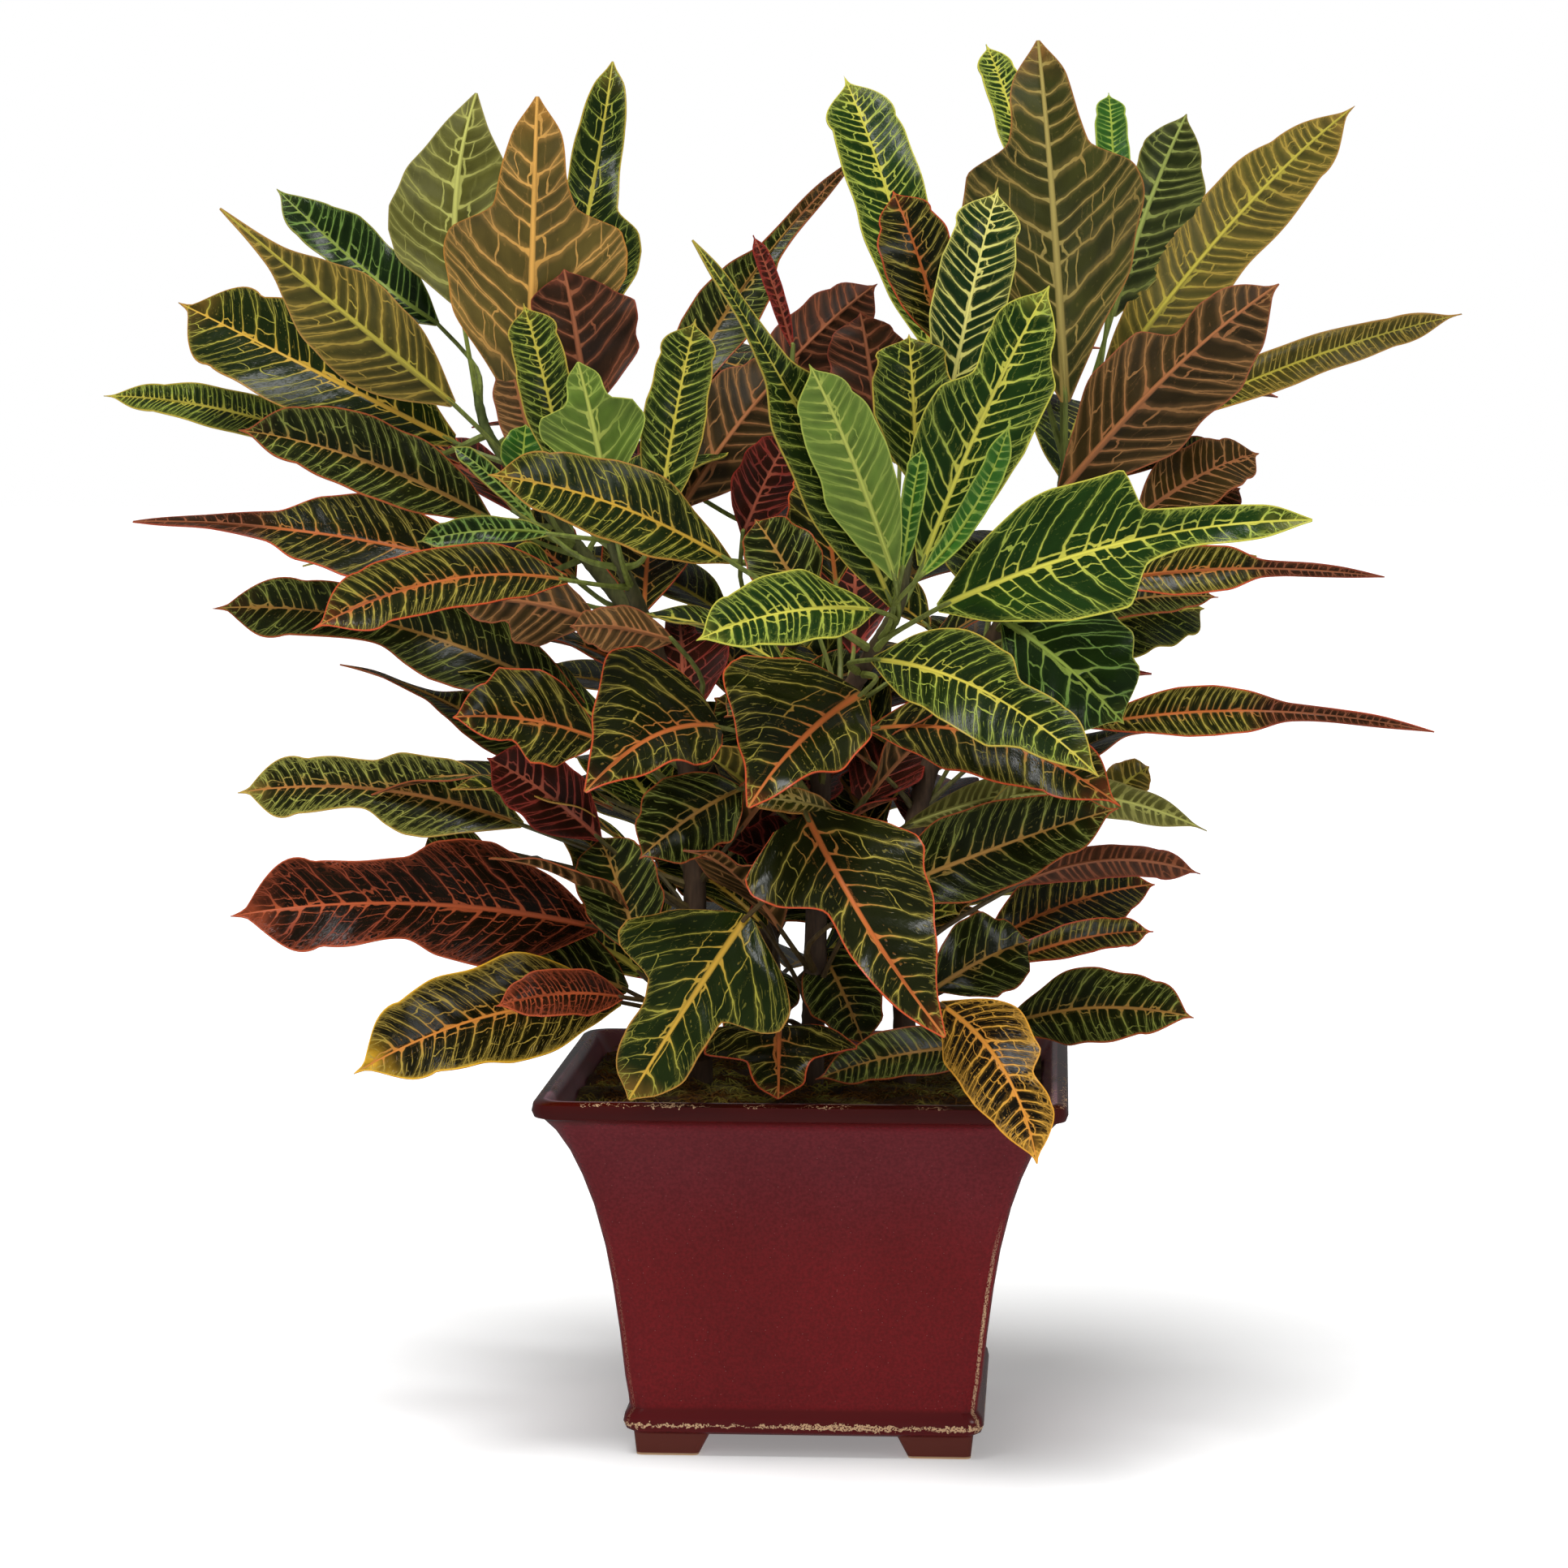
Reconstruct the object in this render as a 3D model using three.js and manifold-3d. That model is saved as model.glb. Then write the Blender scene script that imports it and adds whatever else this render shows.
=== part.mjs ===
// A bushy croton of four plants with lobed, waved leaves, in a square flared planter of glazed ceramic.
// Millimetres. +Z is up and -Y is the front.

import * as THREE from "three";
import Module from "manifold-3d";

const wasm = await Module();
wasm.setup();
const { Manifold, Mesh } = wasm;
const Vector = THREE.Vector3;

// Planter
const GAP = 0.3;
const WALL_SIDES = 3;
const POT_OUTER = [
  // half width, height, corner radius
  [82.5, 11, 7],
  [85.6, 13, 8],
  [86.9, 16.5, 9],
  [86.2, 20, 9],
  [84, 23, 9],
  [86, 38, 9],
  [88.4, 61, 9],
  [91.4, 84, 9.5],
  [94.6, 103, 10],
  [99.6, 124, 10.5],
  [104.6, 139, 11],
  [109.9, 151.6, 11.5],
  [116.2, 162.4, 12],
  [121.6, 168.6, 12],
  [125.4, 170, 13],
  [126.5, 173, 13],
  [125.8, 176.6, 13],
  [123.4, 178, 12],
];
const POT_INNER = [
  [76, 20, 8],
  [80, 60, 8],
  [87, 100, 9],
  [95, 130, 10],
  [103, 148, 11],
  [108, 158, 12],
  [114, 167, 13],
  [117.4, 173, 13],
  [118.6, 177, 13],
  [120, 178, 12],
];
const RIM_TOP = POT_OUTER.at(-1)[1];
const FOOT_TOP = { half: 19, centre: 63 };
const FOOT_BOTTOM = { half: 15, centre: 65.6 };
const FOOT_HEIGHT = 12.5;
const FOOT_ROUNDING = 4;

// Soil and moss
const SOIL_TOP = 158;
const MOSS_FLOOR = SOIL_TOP + GAP;
const MOSS_HEIGHT = 167.5;
const MOSS_LUMP = 2.6;
const MOSS_CELLS = 9;
const HOLE_FLOOR = 96;
const HOLE_EASE = 0.7;

// The front view that the plants are laid out in: steps from its top left corner, and depth in
// millimetres towards the viewer
const STEP = 0.4;
const VIEW_MIDDLE = 966;
const VIEW_DISTANCE = 2200;
const VIEW_TURN = THREE.MathUtils.degToRad(3.5);
const VIEW_DIP = THREE.MathUtils.degToRad(5);
const VIEW_TARGET = new Vector(-14, -1, 318);
const TO_RIGHT = new Vector(Math.cos(VIEW_TURN), Math.sin(VIEW_TURN), 0);
const TO_VIEWER = new Vector(
  Math.sin(VIEW_TURN) * Math.cos(VIEW_DIP),
  -Math.cos(VIEW_TURN) * Math.cos(VIEW_DIP),
  Math.sin(VIEW_DIP),
);
const TO_TOP = new Vector().crossVectors(TO_VIEWER, TO_RIGHT);

// Leaves and stems
const BLADE_THICKNESS = 0.7;
const VEIN_RAKE = 0.36;
const WAVE = { share: 0.07, turns: 14, drift: 6 };
const FOLD = 11;
const FACE = [0, 0.35, 1];
const ARCH = [0, 0.05, 0.03];
const STALK = { root: 1.7, neck: 1.3, reach: 24, drop: 36, straight: 30 };
const STEM_SIDES = 6;
const STEM_STRAIGHT_TOP = 182;

// Half widths of a blade on its left and right, as shares of its half width, at shares of its length
const SHAPES = {
  broad: [[0, 0.07], [0.1, 0.46], [0.24, 0.88], [0.42, 1], [0.62, 0.82], [0.84, 0.34], [1, 0.02]],
  oval: [[0, 0.08], [0.14, 0.6], [0.35, 0.97], [0.6, 0.93], [0.84, 0.52], [1, 0.02]],
  spear: [
    [0, 0.05], [0.14, 0.42], [0.3, 0.84], [0.45, 1], [0.56, 0.9], [0.66, 0.42], [0.88, 0.28],
    [1, 0.02],
  ],
  fiddle: [
    [0, 0.12], [0.1, 0.75], [0.24, 1], [0.36, 0.84, 0.9], [0.47, 0.44, 0.46], [0.72, 0.4], [0.91, 0.26],
    [1, 0.02],
  ],
  violin: [
    [0, 0.07], [0.11, 0.55], [0.26, 0.94], [0.4, 1], [0.49, 0.96], [0.57, 0.36], [0.86, 0.26],
    [1, 0.02],
  ],
  heart: [[0, 0.1], [0.09, 0.62], [0.24, 1], [0.42, 0.95], [0.6, 0.64], [0.8, 0.28], [1, 0.02]],
  strap: [[0, 0.14], [0.18, 0.74], [0.42, 1], [0.68, 0.94], [0.88, 0.54], [1, 0.03]],
  waist: [
    [0, 0.08], [0.13, 0.66], [0.28, 1], [0.41, 0.8, 0.9], [0.52, 0.56, 0.62], [0.72, 0.68], [0.92, 0.36],
    [1, 0.02],
  ],
  tail: [[0, 0.1], [0.13, 0.66], [0.3, 1], [0.46, 0.86], [0.6, 0.36], [0.84, 0.24], [1, 0.02]],
  dart: [[0, 0.08], [0.13, 0.6], [0.3, 0.95], [0.48, 1], [0.64, 0.6], [0.78, 0.24], [1, 0.02]],
  lopsided: [
    [0, 0.12], [0.1, 0.35, 0.66], [0.25, 0.5, 1], [0.43, 0.5, 0.95], [0.62, 0.4, 0.62], [0.82, 0.22, 0.26],
    [1, 0.02],
  ],
  shoulder: [
    [0, 0.3, 0.45], [0.12, 0.82, 1], [0.26, 1, 0.8], [0.4, 0.92, 0.36], [0.6, 0.66, 0.34], [0.82, 0.3, 0.26],
    [1, 0.02],
  ],
  notch: [
    [0, 0.08], [0.12, 0.56], [0.3, 0.96], [0.47, 0.96, 1], [0.6, 0.5, 1], [0.72, 0.58, 0.76], [0.89, 0.34],
    [1, 0.02],
  ],
};

// Each plant: where its stem stands on the soil (x, y), its branches (points in the front view and the
// radius at each end), and its leaves (from stalk to tip in the front view, width in steps, shape)
const PLANTS = {
  left: {
    foot: [-55, -6],
    branches: [
      { path: [[858, 1240, 8], [855, 1065, 10], [845, 930, 8], [805, 800, 0]], radius: [6, 5] },
      {
        path: [
          [805, 800, 0], [765, 740, -8], [700, 660, -24], [640, 590, -38], [602, 535, -44],
          [590, 498, -46],
        ],
        radius: [4.6, 2.4],
      },
      { path: [[805, 800, 0], [782, 735, 12], [752, 665, 24], [742, 600, 28]], radius: [4.4, 2.2] },
    ],
    leaves: [
      leaf([568, 380, -62], [587, 115, -112], 168, "broad", { arch: [-0.05, 0, 0.03], seen: "under" }),
      leaf([652, 530, -18], [662, 119, -20], 232, "spear", { arch: [0, 0, 0.05], seen: "under" }),
      leaf([690, 430, -78], [755, 76, -130], 152, "fiddle", { arch: [0.01, 0, 0] }),
      leaf([540, 400, -88], [341, 233, -140], 92, "notch", { arch: [0, -0.03, 0] }),
      leaf([560, 499, -26], [271, 257, -24], 124, "dart", { arch: [0.02, -0.02, 0.03], seen: "under" }),
      leaf([560, 545, -46], [220, 373, -110], 134, "strap", { arch: [0, 0, 0.03] }),
      leaf([430, 556, -64], [128, 488, -150], 58, "oval", { arch: [0, 0.04, 0] }),
      leaf([604, 640, -6], [294, 530, 36], 104, "oval", { fold: 26 }),
      leaf([600, 700, -30], [164, 643, -84], 122, "tail", { arch: [0, 0.03, 0.04], twist: 30 }),
      leaf([680, 658, 50], [514, 668, 56], 38, "strap"),
      leaf([642, 600, 2], [648, 523, 0], 56, "oval"),
      leaf([660, 645, 26], [556, 549, 14], 26, "strap"),
      leaf([700, 715, 42], [384, 776, 112], 86, "strap", { arch: [0, 0.08, 0.02] }),
      leaf([735, 765, 22], [560, 738, 18], 104, "notch", { seen: "under" }),
      leaf([720, 870, -14], [262, 750, -92], 114, "waist", { arch: [0, 0.07, 0.02] }),
      leaf([700, 960, -36], [419, 819, -112], 66, "tail", { twist: 55 }),
      leaf([740, 912, 48], [558, 884, 96], 124, "notch"),
      leaf([740, 1035, 36], [600, 934, 44], 94, "oval"),
      leaf([645, 1017, 0], [293, 977, -58], 112, "waist", { arch: [0, 0.06, 0.02] }),
      leaf([600, 1045, -24], [520, 1048, -26], 52, "oval"),
      leaf([738, 1144, 18], [284, 1129, 60], 168, "waist", { arch: [0, 0.05, 0.02] }),
      leaf([765, 1235, 30], [436, 1323, 108], 136, "oval", { arch: [0, 0.07, 0.03] }),
      leaf([769, 1229, 62], [611, 1240, 112], 66, "oval"),
      leaf([790, 1180, 46], [738, 1030, 28], 108, "oval"),
      leaf([830, 790, 38], [702, 772, 52], 66, "oval", { seen: "under" }),
      leaf([725, 510, 4], [695, 332, -6], 160, "notch", { seen: "under" }),
      leaf([668, 610, -8], [622, 425, -22], 66, "oval", { seen: "under" }),
      leaf([700, 600, 28], [645, 374, 24], 68, "strap"),
      leaf([750, 620, 50], [712, 446, 56], 132, "spear", { seen: "under" }),
      leaf([810, 650, 42], [857, 393, 32], 78, "strap"),
    ],
    fans: [
      fan([840, 1000, 6], 2, [-75, -10], 8, 135, 110),
      fan([790, 780, -4], 2, [-70, 0], 6, 140, 115),
      fan([640, 590, -40], 2, [-50, 20], 16, 145, 120),
    ],
  },
  centre: {
    foot: [0, -6],
    branches: [
      { path: [[1003, 1230, 8], [1010, 1000, 22], [1019, 900, 30], [1060, 830, 45]], radius: [6, 4.6] },
      { path: [[1060, 830, 45], [1105, 750, 62], [1118, 690, 68]], radius: [4.6, 2.4] },
    ],
    leaves: [
      leaf([1100, 747, 76], [853, 296, 150], 112, "tail", { twist: 30 }),
      leaf([1103, 715, 92], [997, 449, 138], 100, "oval", { seen: "under" }),
      leaf([1111, 705, 88], [1136, 551, 88], 30, "strap"),
      leaf([1134, 710, 98], [1245, 518, 116], 34, "strap", { arch: [0.05, -0.05, 0] }),
      leaf([1135, 700, 52], [1293, 352, 54], 136, "notch"),
      leaf([1155, 750, 92], [1617, 641, 188], 176, "violin", { arch: [0, 0.05, 0.03] }),
      leaf([1078, 752, 104], [858, 789, 182], 100, "oval", { arch: [0, 0.05, 0.03] }),
      leaf([900, 692, 104], [601, 585, 172], 108, "oval", { arch: [0, 0.05, 0.03] }),
      leaf([886, 896, 88], [721, 976, 164], 226, "lopsided", { arch: [0, 0.1, 0.05] }),
      leaf([1062, 855, 100], [922, 995, 178], 250, "lopsided", { arch: [-0.02, 0.04, 0.05] }),
      leaf([1075, 813, 96], [1354, 957, 184], 124, "notch", { arch: [0, 0.08, 0.04] }),
      leaf([1073, 899, 60], [1381, 994, 122], 116, "oval", { arch: [0, 0.1, 0.02] }),
      leaf([1062, 1112, 72], [1378, 996, 88], 114, "oval", { arch: [0, 0.02, 0.03] }),
      leaf([1110, 1021, 34], [1487, 1024, 26], 60, "oval", { arch: [0, 0.12, 0], seen: "under" }),
      leaf([993, 1003, 122], [1164, 1278, 180], 214, "shoulder", { arch: [-0.03, 0, 0.05] }),
      leaf([922, 1128, 106], [775, 1355, 122], 236, "fiddle", { arch: [0, 0.02, 0.05] }),
      leaf([960, 1262, 44], [959, 1354, 106], 190, "spear"),
      leaf([915, 972, 60], [788, 1058, 92], 116, "oval"),
      leaf([1030, 1000, 118], [920, 985, 116], 34, "strap"),
      leaf([1030, 720, 4], [1008, 570, -4], 104, "oval"),
      leaf([1000, 760, 30], [930, 640, 20], 96, "oval"),
      leaf([1000, 960, 10], [880, 860, 4], 120, "oval"),
      leaf([1010, 1170, -2], [1066, 1290, 40], 100, "oval"),
    ],
    fans: [],
  },
  right: {
    foot: [46, 0],
    branches: [
      { path: [[1113, 1130, 0], [1135, 980, -10], [1180, 860, -16]], radius: [6, 5] },
      { path: [[1180, 860, -16], [1250, 740, -18], [1300, 640, -20], [1312, 570, -22]], radius: [4.8, 2.4] },
    ],
    leaves: [
      leaf([1305, 610, 16], [1576, 350, 44], 146, "notch", { seen: "under" }),
      leaf([1420, 525, -10], [1801, 387, -84], 52, "oval", { arch: [0, 0.03, 0], twist: 40 }),
      leaf([1352, 490, -50], [1669, 131, -130], 108, "oval", { seen: "under" }),
      leaf([1313, 497, 4], [1279, 50, -34], 236, "spear", { seen: "under" }),
      leaf([1275, 250, -54], [1215, 55, -112], 48, "strap"),
      leaf([1375, 270, -80], [1366, 115, -132], 42, "strap"),
      leaf([1370, 390, -64], [1462, 141, -120], 128, "notch", { seen: "under" }),
      leaf([1262, 340, -44], [1235, 185, -56], 84, "oval"),
      leaf([1400, 640, -36], [1551, 559, -92], 88, "oval"),
      leaf([1330, 600, -50], [1506, 549, -96], 34, "strap"),
      leaf([1440, 665, -44], [1528, 602, -80], 64, "oval"),
      leaf([1340, 720, 26], [1706, 711, 66], 62, "tail", { arch: [0, 0.04, 0], twist: 30 }),
      leaf([1300, 765, 4], [1501, 736, -44], 52, "oval"),
      leaf([1290, 805, -20], [1484, 750, -92], 116, "oval"),
      leaf([1235, 765, 44], [1385, 892, 62], 176, "oval"),
      leaf([1335, 895, 20], [1767, 902, 92], 62, "tail", { arch: [0, 0.05, 0], twist: 40 }),
      leaf([1360, 990, -18], [1416, 945, -24], 54, "oval"),
      leaf([1240, 1262, 20], [1471, 1254, 84], 98, "oval", { arch: [0, 0.06, 0.02] }),
      leaf([1214, 1164, -14], [1423, 1090, -84], 94, "notch"),
      leaf([1237, 1187, 0], [1421, 1148, -34], 44, "strap"),
      leaf([1253, 1090, 14], [1479, 1077, -8], 44, "strap", { arch: [0, 0.1, 0], seen: "under" }),
      leaf([1157, 1237, 96], [1278, 1434, 156], 116, "notch", { arch: [0.06, 0.08, 0.08] }),
      leaf([1150, 1220, 14], [1270, 1160, 0], 112, "oval"),
      leaf([1235, 1290, 44], [1005, 1330, 80], 66, "oval"),
      leaf([1140, 1070, -20], [1270, 1000, -40], 120, "oval"),
    ],
    fans: [
      fan([1125, 1050, -6], 2, [5, 60], 8, 130, 110),
      fan([1200, 830, -18], 2, [0, 55], 6, 130, 115),
      fan([1300, 610, -22], 2, [5, 50], 12, 140, 120),
    ],
  },
  back: {
    foot: [-20, 52],
    branches: [
      { path: [[945, 1150, -60], [950, 950, -66], [965, 800, -70]], radius: [6, 5] },
      { path: [[965, 800, -70], [945, 680, -72], [930, 590, -76], [925, 540, -78]], radius: [4.6, 2.4] },
      { path: [[965, 800, -70], [1060, 690, -58], [1140, 590, -44], [1156, 500, -38]], radius: [4.6, 2.4] },
    ],
    leaves: [
      leaf([1150, 440, -34], [1040, 94, -92], 94, "strap"),
      leaf([1165, 430, -8], [1100, 235, 0], 96, "oval"),
      leaf([1165, 520, 12], [1230, 231, 14], 92, "strap"),
      leaf([1130, 600, 24], [1120, 412, 16], 100, "strap"),
      leaf([977, 431, -64], [928, 290, -76], 22, "strap"),
      leaf([930, 500, -98], [1081, 350, -108], 96, "oval", { seen: "under" }),
      leaf([1081, 520, -78], [1060, 385, -86], 104, "oval", { seen: "under" }),
      leaf([840, 625, -64], [985, 440, -78], 134, "oval", { seen: "under" }),
      leaf([915, 660, -18], [974, 536, -10], 80, "oval"),
      leaf([952, 1190, -36], [915, 1300, 30], 96, "oval"),
      leaf([930, 1110, -44], [800, 1010, -36], 120, "oval"),
      leaf([820, 520, -90], [1060, 190, -165], 84, "tail", { arch: [-0.04, 0.02, 0], twist: 20 }),
    ],
    fans: [
      fan([945, 1180, -58], 4, [-70, 70], -4, 135, 110),
      fan([950, 1040, -62], 3, [-50, 40], 4, 145, 115),
      fan([955, 900, -66], 3, [-60, 60], 8, 150, 120),
      fan([965, 780, -70], 3, [-52, 52], 12, 150, 120),
      fan([940, 640, -74], 3, [-55, 40], 18, 150, 115),
      fan([1120, 610, -48], 3, [-40, 30], 20, 150, 115),
    ],
  },
};

// A leaf from its stalk to its tip, with the side seen from the front and the way that side faces
function leaf(from, to, wide, shape, options = {}) {
  return { from, to, wide, shape, face: FACE, arch: ARCH, fold: FOLD, twist: 0, seen: "upper", ...options };
}

// Leaves that spread backwards from one point of a stem, between two bearings in degrees
function fan(at, count, bearings, rise, length, wide) {
  return { at, count, bearings, rise, length, wide };
}

// A point of the front view as a point of the part
function placed([across, down, depth]) {
  const nearer = ((VIEW_DISTANCE - depth) / VIEW_DISTANCE) * STEP;
  return VIEW_TARGET.clone()
    .addScaledVector(TO_RIGHT, (across - VIEW_MIDDLE) * nearer)
    .addScaledVector(TO_TOP, (VIEW_MIDDLE - down) * nearer)
    .addScaledVector(TO_VIEWER, depth);
}

// A direction given as right, up and towards the viewer
function directed([right, up, toward]) {
  return new Vector()
    .addScaledVector(TO_RIGHT, right)
    .addScaledVector(TO_TOP, up)
    .addScaledVector(TO_VIEWER, toward);
}

// The same number between 0 and 1 each time for a pair of whole numbers
function chance(first, second) {
  const wild = Math.sin(first * 12.9898 + second * 78.233) * 43758.5453;
  return wild - Math.floor(wild);
}

function solidOf(points, triangles) {
  const vertProperties = new Float32Array(points.flatMap((p) => [p.x, p.y, p.z]));
  return new Manifold(new Mesh({ numProp: 3, vertProperties, triVerts: new Uint32Array(triangles) }));
}

// A closed body through rings that all have the same number of points, wound to the left as seen from
// the far end
function loft(rings) {
  const count = rings[0].length;
  const points = rings.flat();
  const triangles = [];
  for (let i = 0; i < rings.length - 1; i += 1) {
    for (let j = 0; j < count; j += 1) {
      const a = i * count + j;
      const b = i * count + ((j + 1) % count);
      triangles.push(a, b, b + count, a, b + count, a + count);
    }
  }
  const last = (rings.length - 1) * count;
  for (let j = 1; j < count - 1; j += 1) {
    triangles.push(0, j + 1, j);
    triangles.push(last, last + j, last + j + 1);
  }
  return solidOf(points, triangles);
}

function roundedSquare(half, height, radius, centre = [0, 0]) {
  const ring = [];
  for (let corner = 0; corner < 4; corner += 1) {
    const middle = Math.PI / 4 + (corner * Math.PI) / 2;
    const reach = (half - radius) * Math.SQRT2;
    for (let i = 0; i <= WALL_SIDES; i += 1) {
      const angle = middle - Math.PI / 4 + (i * Math.PI) / 2 / WALL_SIDES;
      ring.push(
        new Vector(
          centre[0] + reach * Math.cos(middle) + radius * Math.cos(angle),
          centre[1] + reach * Math.sin(middle) + radius * Math.sin(angle),
          height,
        ),
      );
    }
  }
  return ring;
}

function pot() {
  const outer = POT_OUTER.map(([half, height, radius]) => roundedSquare(half, height, radius));
  const inner = POT_INNER.map(([half, height, radius]) => roundedSquare(half, height, radius)).reverse();
  let body = loft([...outer, ...inner]);
  for (const [alongX, alongY] of [[1, 1], [-1, 1], [-1, -1], [1, -1]]) {
    const ends = [
      [FOOT_BOTTOM, 0],
      [FOOT_TOP, FOOT_HEIGHT],
    ];
    const rings = ends.map(([end, height]) =>
      roundedSquare(end.half, height, FOOT_ROUNDING, [alongX * end.centre, alongY * end.centre]),
    );
    body = body.add(loft(rings));
  }
  return body;
}

// The inside of the pot between two heights, kept clear of its wall
function filling(bottom, top) {
  const inside = (height) => {
    const above = POT_INNER.findIndex(([, level]) => level >= height);
    const [low, high] = [POT_INNER[Math.max(above - 1, 0)], POT_INNER[above]];
    const share = high === low ? 0 : (height - low[1]) / (high[1] - low[1]);
    const between = (k) => low[k] + (high[k] - low[k]) * share;
    return roundedSquare(between(0) - GAP * 1.2, height, between(2));
  };
  const levels = POT_INNER.map(([, level]) => level).filter((level) => level > bottom && level < top);
  return loft([bottom, ...levels, top].map(inside));
}

function stemHoles(bottom, top) {
  const holes = Object.values(PLANTS).map(({ foot: [x, y], branches }) => {
    const radius = branches[0].radius[0] + HOLE_EASE;
    return Manifold.cylinder(top - bottom, radius, radius, STEM_SIDES * 2).translate([x, y, bottom]);
  });
  return Manifold.union(holes);
}

function soil() {
  return filling(POT_INNER[0][1] + GAP, SOIL_TOP).subtract(stemHoles(HOLE_FLOOR, SOIL_TOP + 1));
}

// A lumpy mat, level below
function moss() {
  const side = 2 * POT_INNER.at(-1)[0];
  const points = [];
  const triangles = [];
  const row = MOSS_CELLS + 1;
  for (let i = 0; i < row; i += 1) {
    for (let j = 0; j < row; j += 1) {
      const across = (i / MOSS_CELLS - 0.5) * side;
      const along = (j / MOSS_CELLS - 0.5) * side;
      points.push(new Vector(across, along, MOSS_HEIGHT + MOSS_LUMP * (2 * chance(i, j) - 1)));
    }
  }
  const base = points.length;
  points.push(...points.map((p) => new Vector(p.x, p.y, MOSS_FLOOR)));
  for (let i = 0; i < MOSS_CELLS; i += 1) {
    for (let j = 0; j < MOSS_CELLS; j += 1) {
      const a = i * row + j;
      const [b, c, d] = [a + row, a + row + 1, a + 1];
      triangles.push(a, b, c, a, c, d, base + a, base + c, base + b, base + a, base + d, base + c);
    }
  }
  const wall = (a, b) => triangles.push(a, b, base + b, a, base + b, base + a);
  for (let i = 0; i < MOSS_CELLS; i += 1) {
    wall(i, i + 1);
    wall(MOSS_CELLS * row + i + 1, MOSS_CELLS * row + i);
    wall((i + 1) * row, i * row);
    wall(i * row + MOSS_CELLS, (i + 1) * row + MOSS_CELLS);
  }
  const mat = solidOf(points, triangles).intersect(filling(MOSS_FLOOR, POT_INNER.at(-1)[1]));
  return mat.subtract(stemHoles(MOSS_FLOOR - 1, RIM_TOP));
}

// A rod through points, with a radius at each
function rod(points, radii, sides) {
  let side = null;
  const rings = points.map((point, i) => {
    const before = points[Math.max(i - 1, 0)];
    const after = points[Math.min(i + 1, points.length - 1)];
    const along = after.clone().sub(before).normalize();
    const start = side ?? (Math.abs(along.z) > 0.9 ? new Vector(1, 0, 0) : new Vector(0, 0, 1));
    side = start.clone().addScaledVector(along, -start.dot(along)).normalize();
    const other = new Vector().crossVectors(along, side);
    return Array.from({ length: sides }, (_, k) => {
      const angle = (2 * Math.PI * k) / sides;
      return point
        .clone()
        .addScaledVector(side, radii[i] * Math.cos(angle))
        .addScaledVector(other, radii[i] * Math.sin(angle));
    });
  });
  return loft(rings);
}

// The middle line of a blade: its points, its directions and the way that its seen side faces
function midrib({ from, to, arch, face, twist }, share) {
  const [start, end] = [placed(from), placed(to)];
  const chord = end.clone().sub(start);
  const lift = directed(arch).multiplyScalar(4 * chord.length());
  const point = start.clone().addScaledVector(chord, share).addScaledVector(lift, share * (1 - share));
  const along = chord.clone().addScaledVector(lift, 1 - 2 * share).normalize();
  const towards = directed(face);
  const facing = towards.addScaledVector(along, -towards.dot(along)).normalize();
  facing.applyAxisAngle(along, THREE.MathUtils.degToRad(twist) * share * share * (3 - 2 * share));
  return { point, along, facing, right: new Vector().crossVectors(along, facing) };
}

// The middle lines of a plant's trunk and branches, from where the trunk leaves the moss
function limbs({ foot: [x, y], branches }) {
  const lines = branches.map(({ path }) => path.map(placed));
  lines[0].unshift(new Vector(x, y, STEM_STRAIGHT_TOP));
  return lines;
}

// The nearest point of some lines to a point, not past their ends
function nearestOn(lines, wanted) {
  let best = null;
  for (const points of lines) {
    for (let i = 0; i < points.length - 1; i += 1) {
      const line = new THREE.Line3(points[i], points[i + 1]);
      const candidate = line.closestPointToPoint(wanted, true, new Vector());
      if (!best || candidate.distanceTo(wanted) < best.distanceTo(wanted)) {
        best = candidate;
      }
    }
  }
  return best;
}

// Six points around a leaf: the left, middle and right of its seen side, then of its other side
function sixPoints([left, middle, right], facing, edge, ridge) {
  const raised = (point, by) => point.clone().addScaledVector(facing, by);
  return [
    raised(left, edge), raised(middle, ridge), raised(right, edge),
    raised(right, -edge), raised(middle, -ridge), raised(left, -edge),
  ];
}

// The rings of a leaf stalk, from inside the branch towards the blade
function stalkRings(shown, number, lines) {
  const base = midrib(shown, 0);
  const back = base.point.clone().addScaledVector(base.along, -STALK.reach);
  const root = nearestOn(lines, back.add(new Vector(0, 0, -STALK.drop * chance(number, STALK.drop))));
  const before = base.point.clone().addScaledVector(base.along, -0.4 * base.point.distanceTo(root));
  const middle = root.clone().multiplyScalar(0.35).addScaledVector(before, 0.65);
  const legs = [[root, middle.clone().sub(root), STALK.root]];
  if (root.distanceTo(base.point) > STALK.straight) {
    legs.push([middle, base.point.clone().sub(root), STALK.neck]);
  }
  return legs.map(([point, way, radius]) => {
    const along = way.normalize();
    const turn = new THREE.Quaternion().setFromUnitVectors(base.along, along);
    const facing = base.facing.clone().applyQuaternion(turn);
    const aside = new Vector().crossVectors(along, facing).multiplyScalar(radius * 0.87);
    const across = [point.clone().sub(aside), point, point.clone().add(aside)];
    return sixPoints(across, facing, radius / 2, radius);
  });
}

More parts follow.
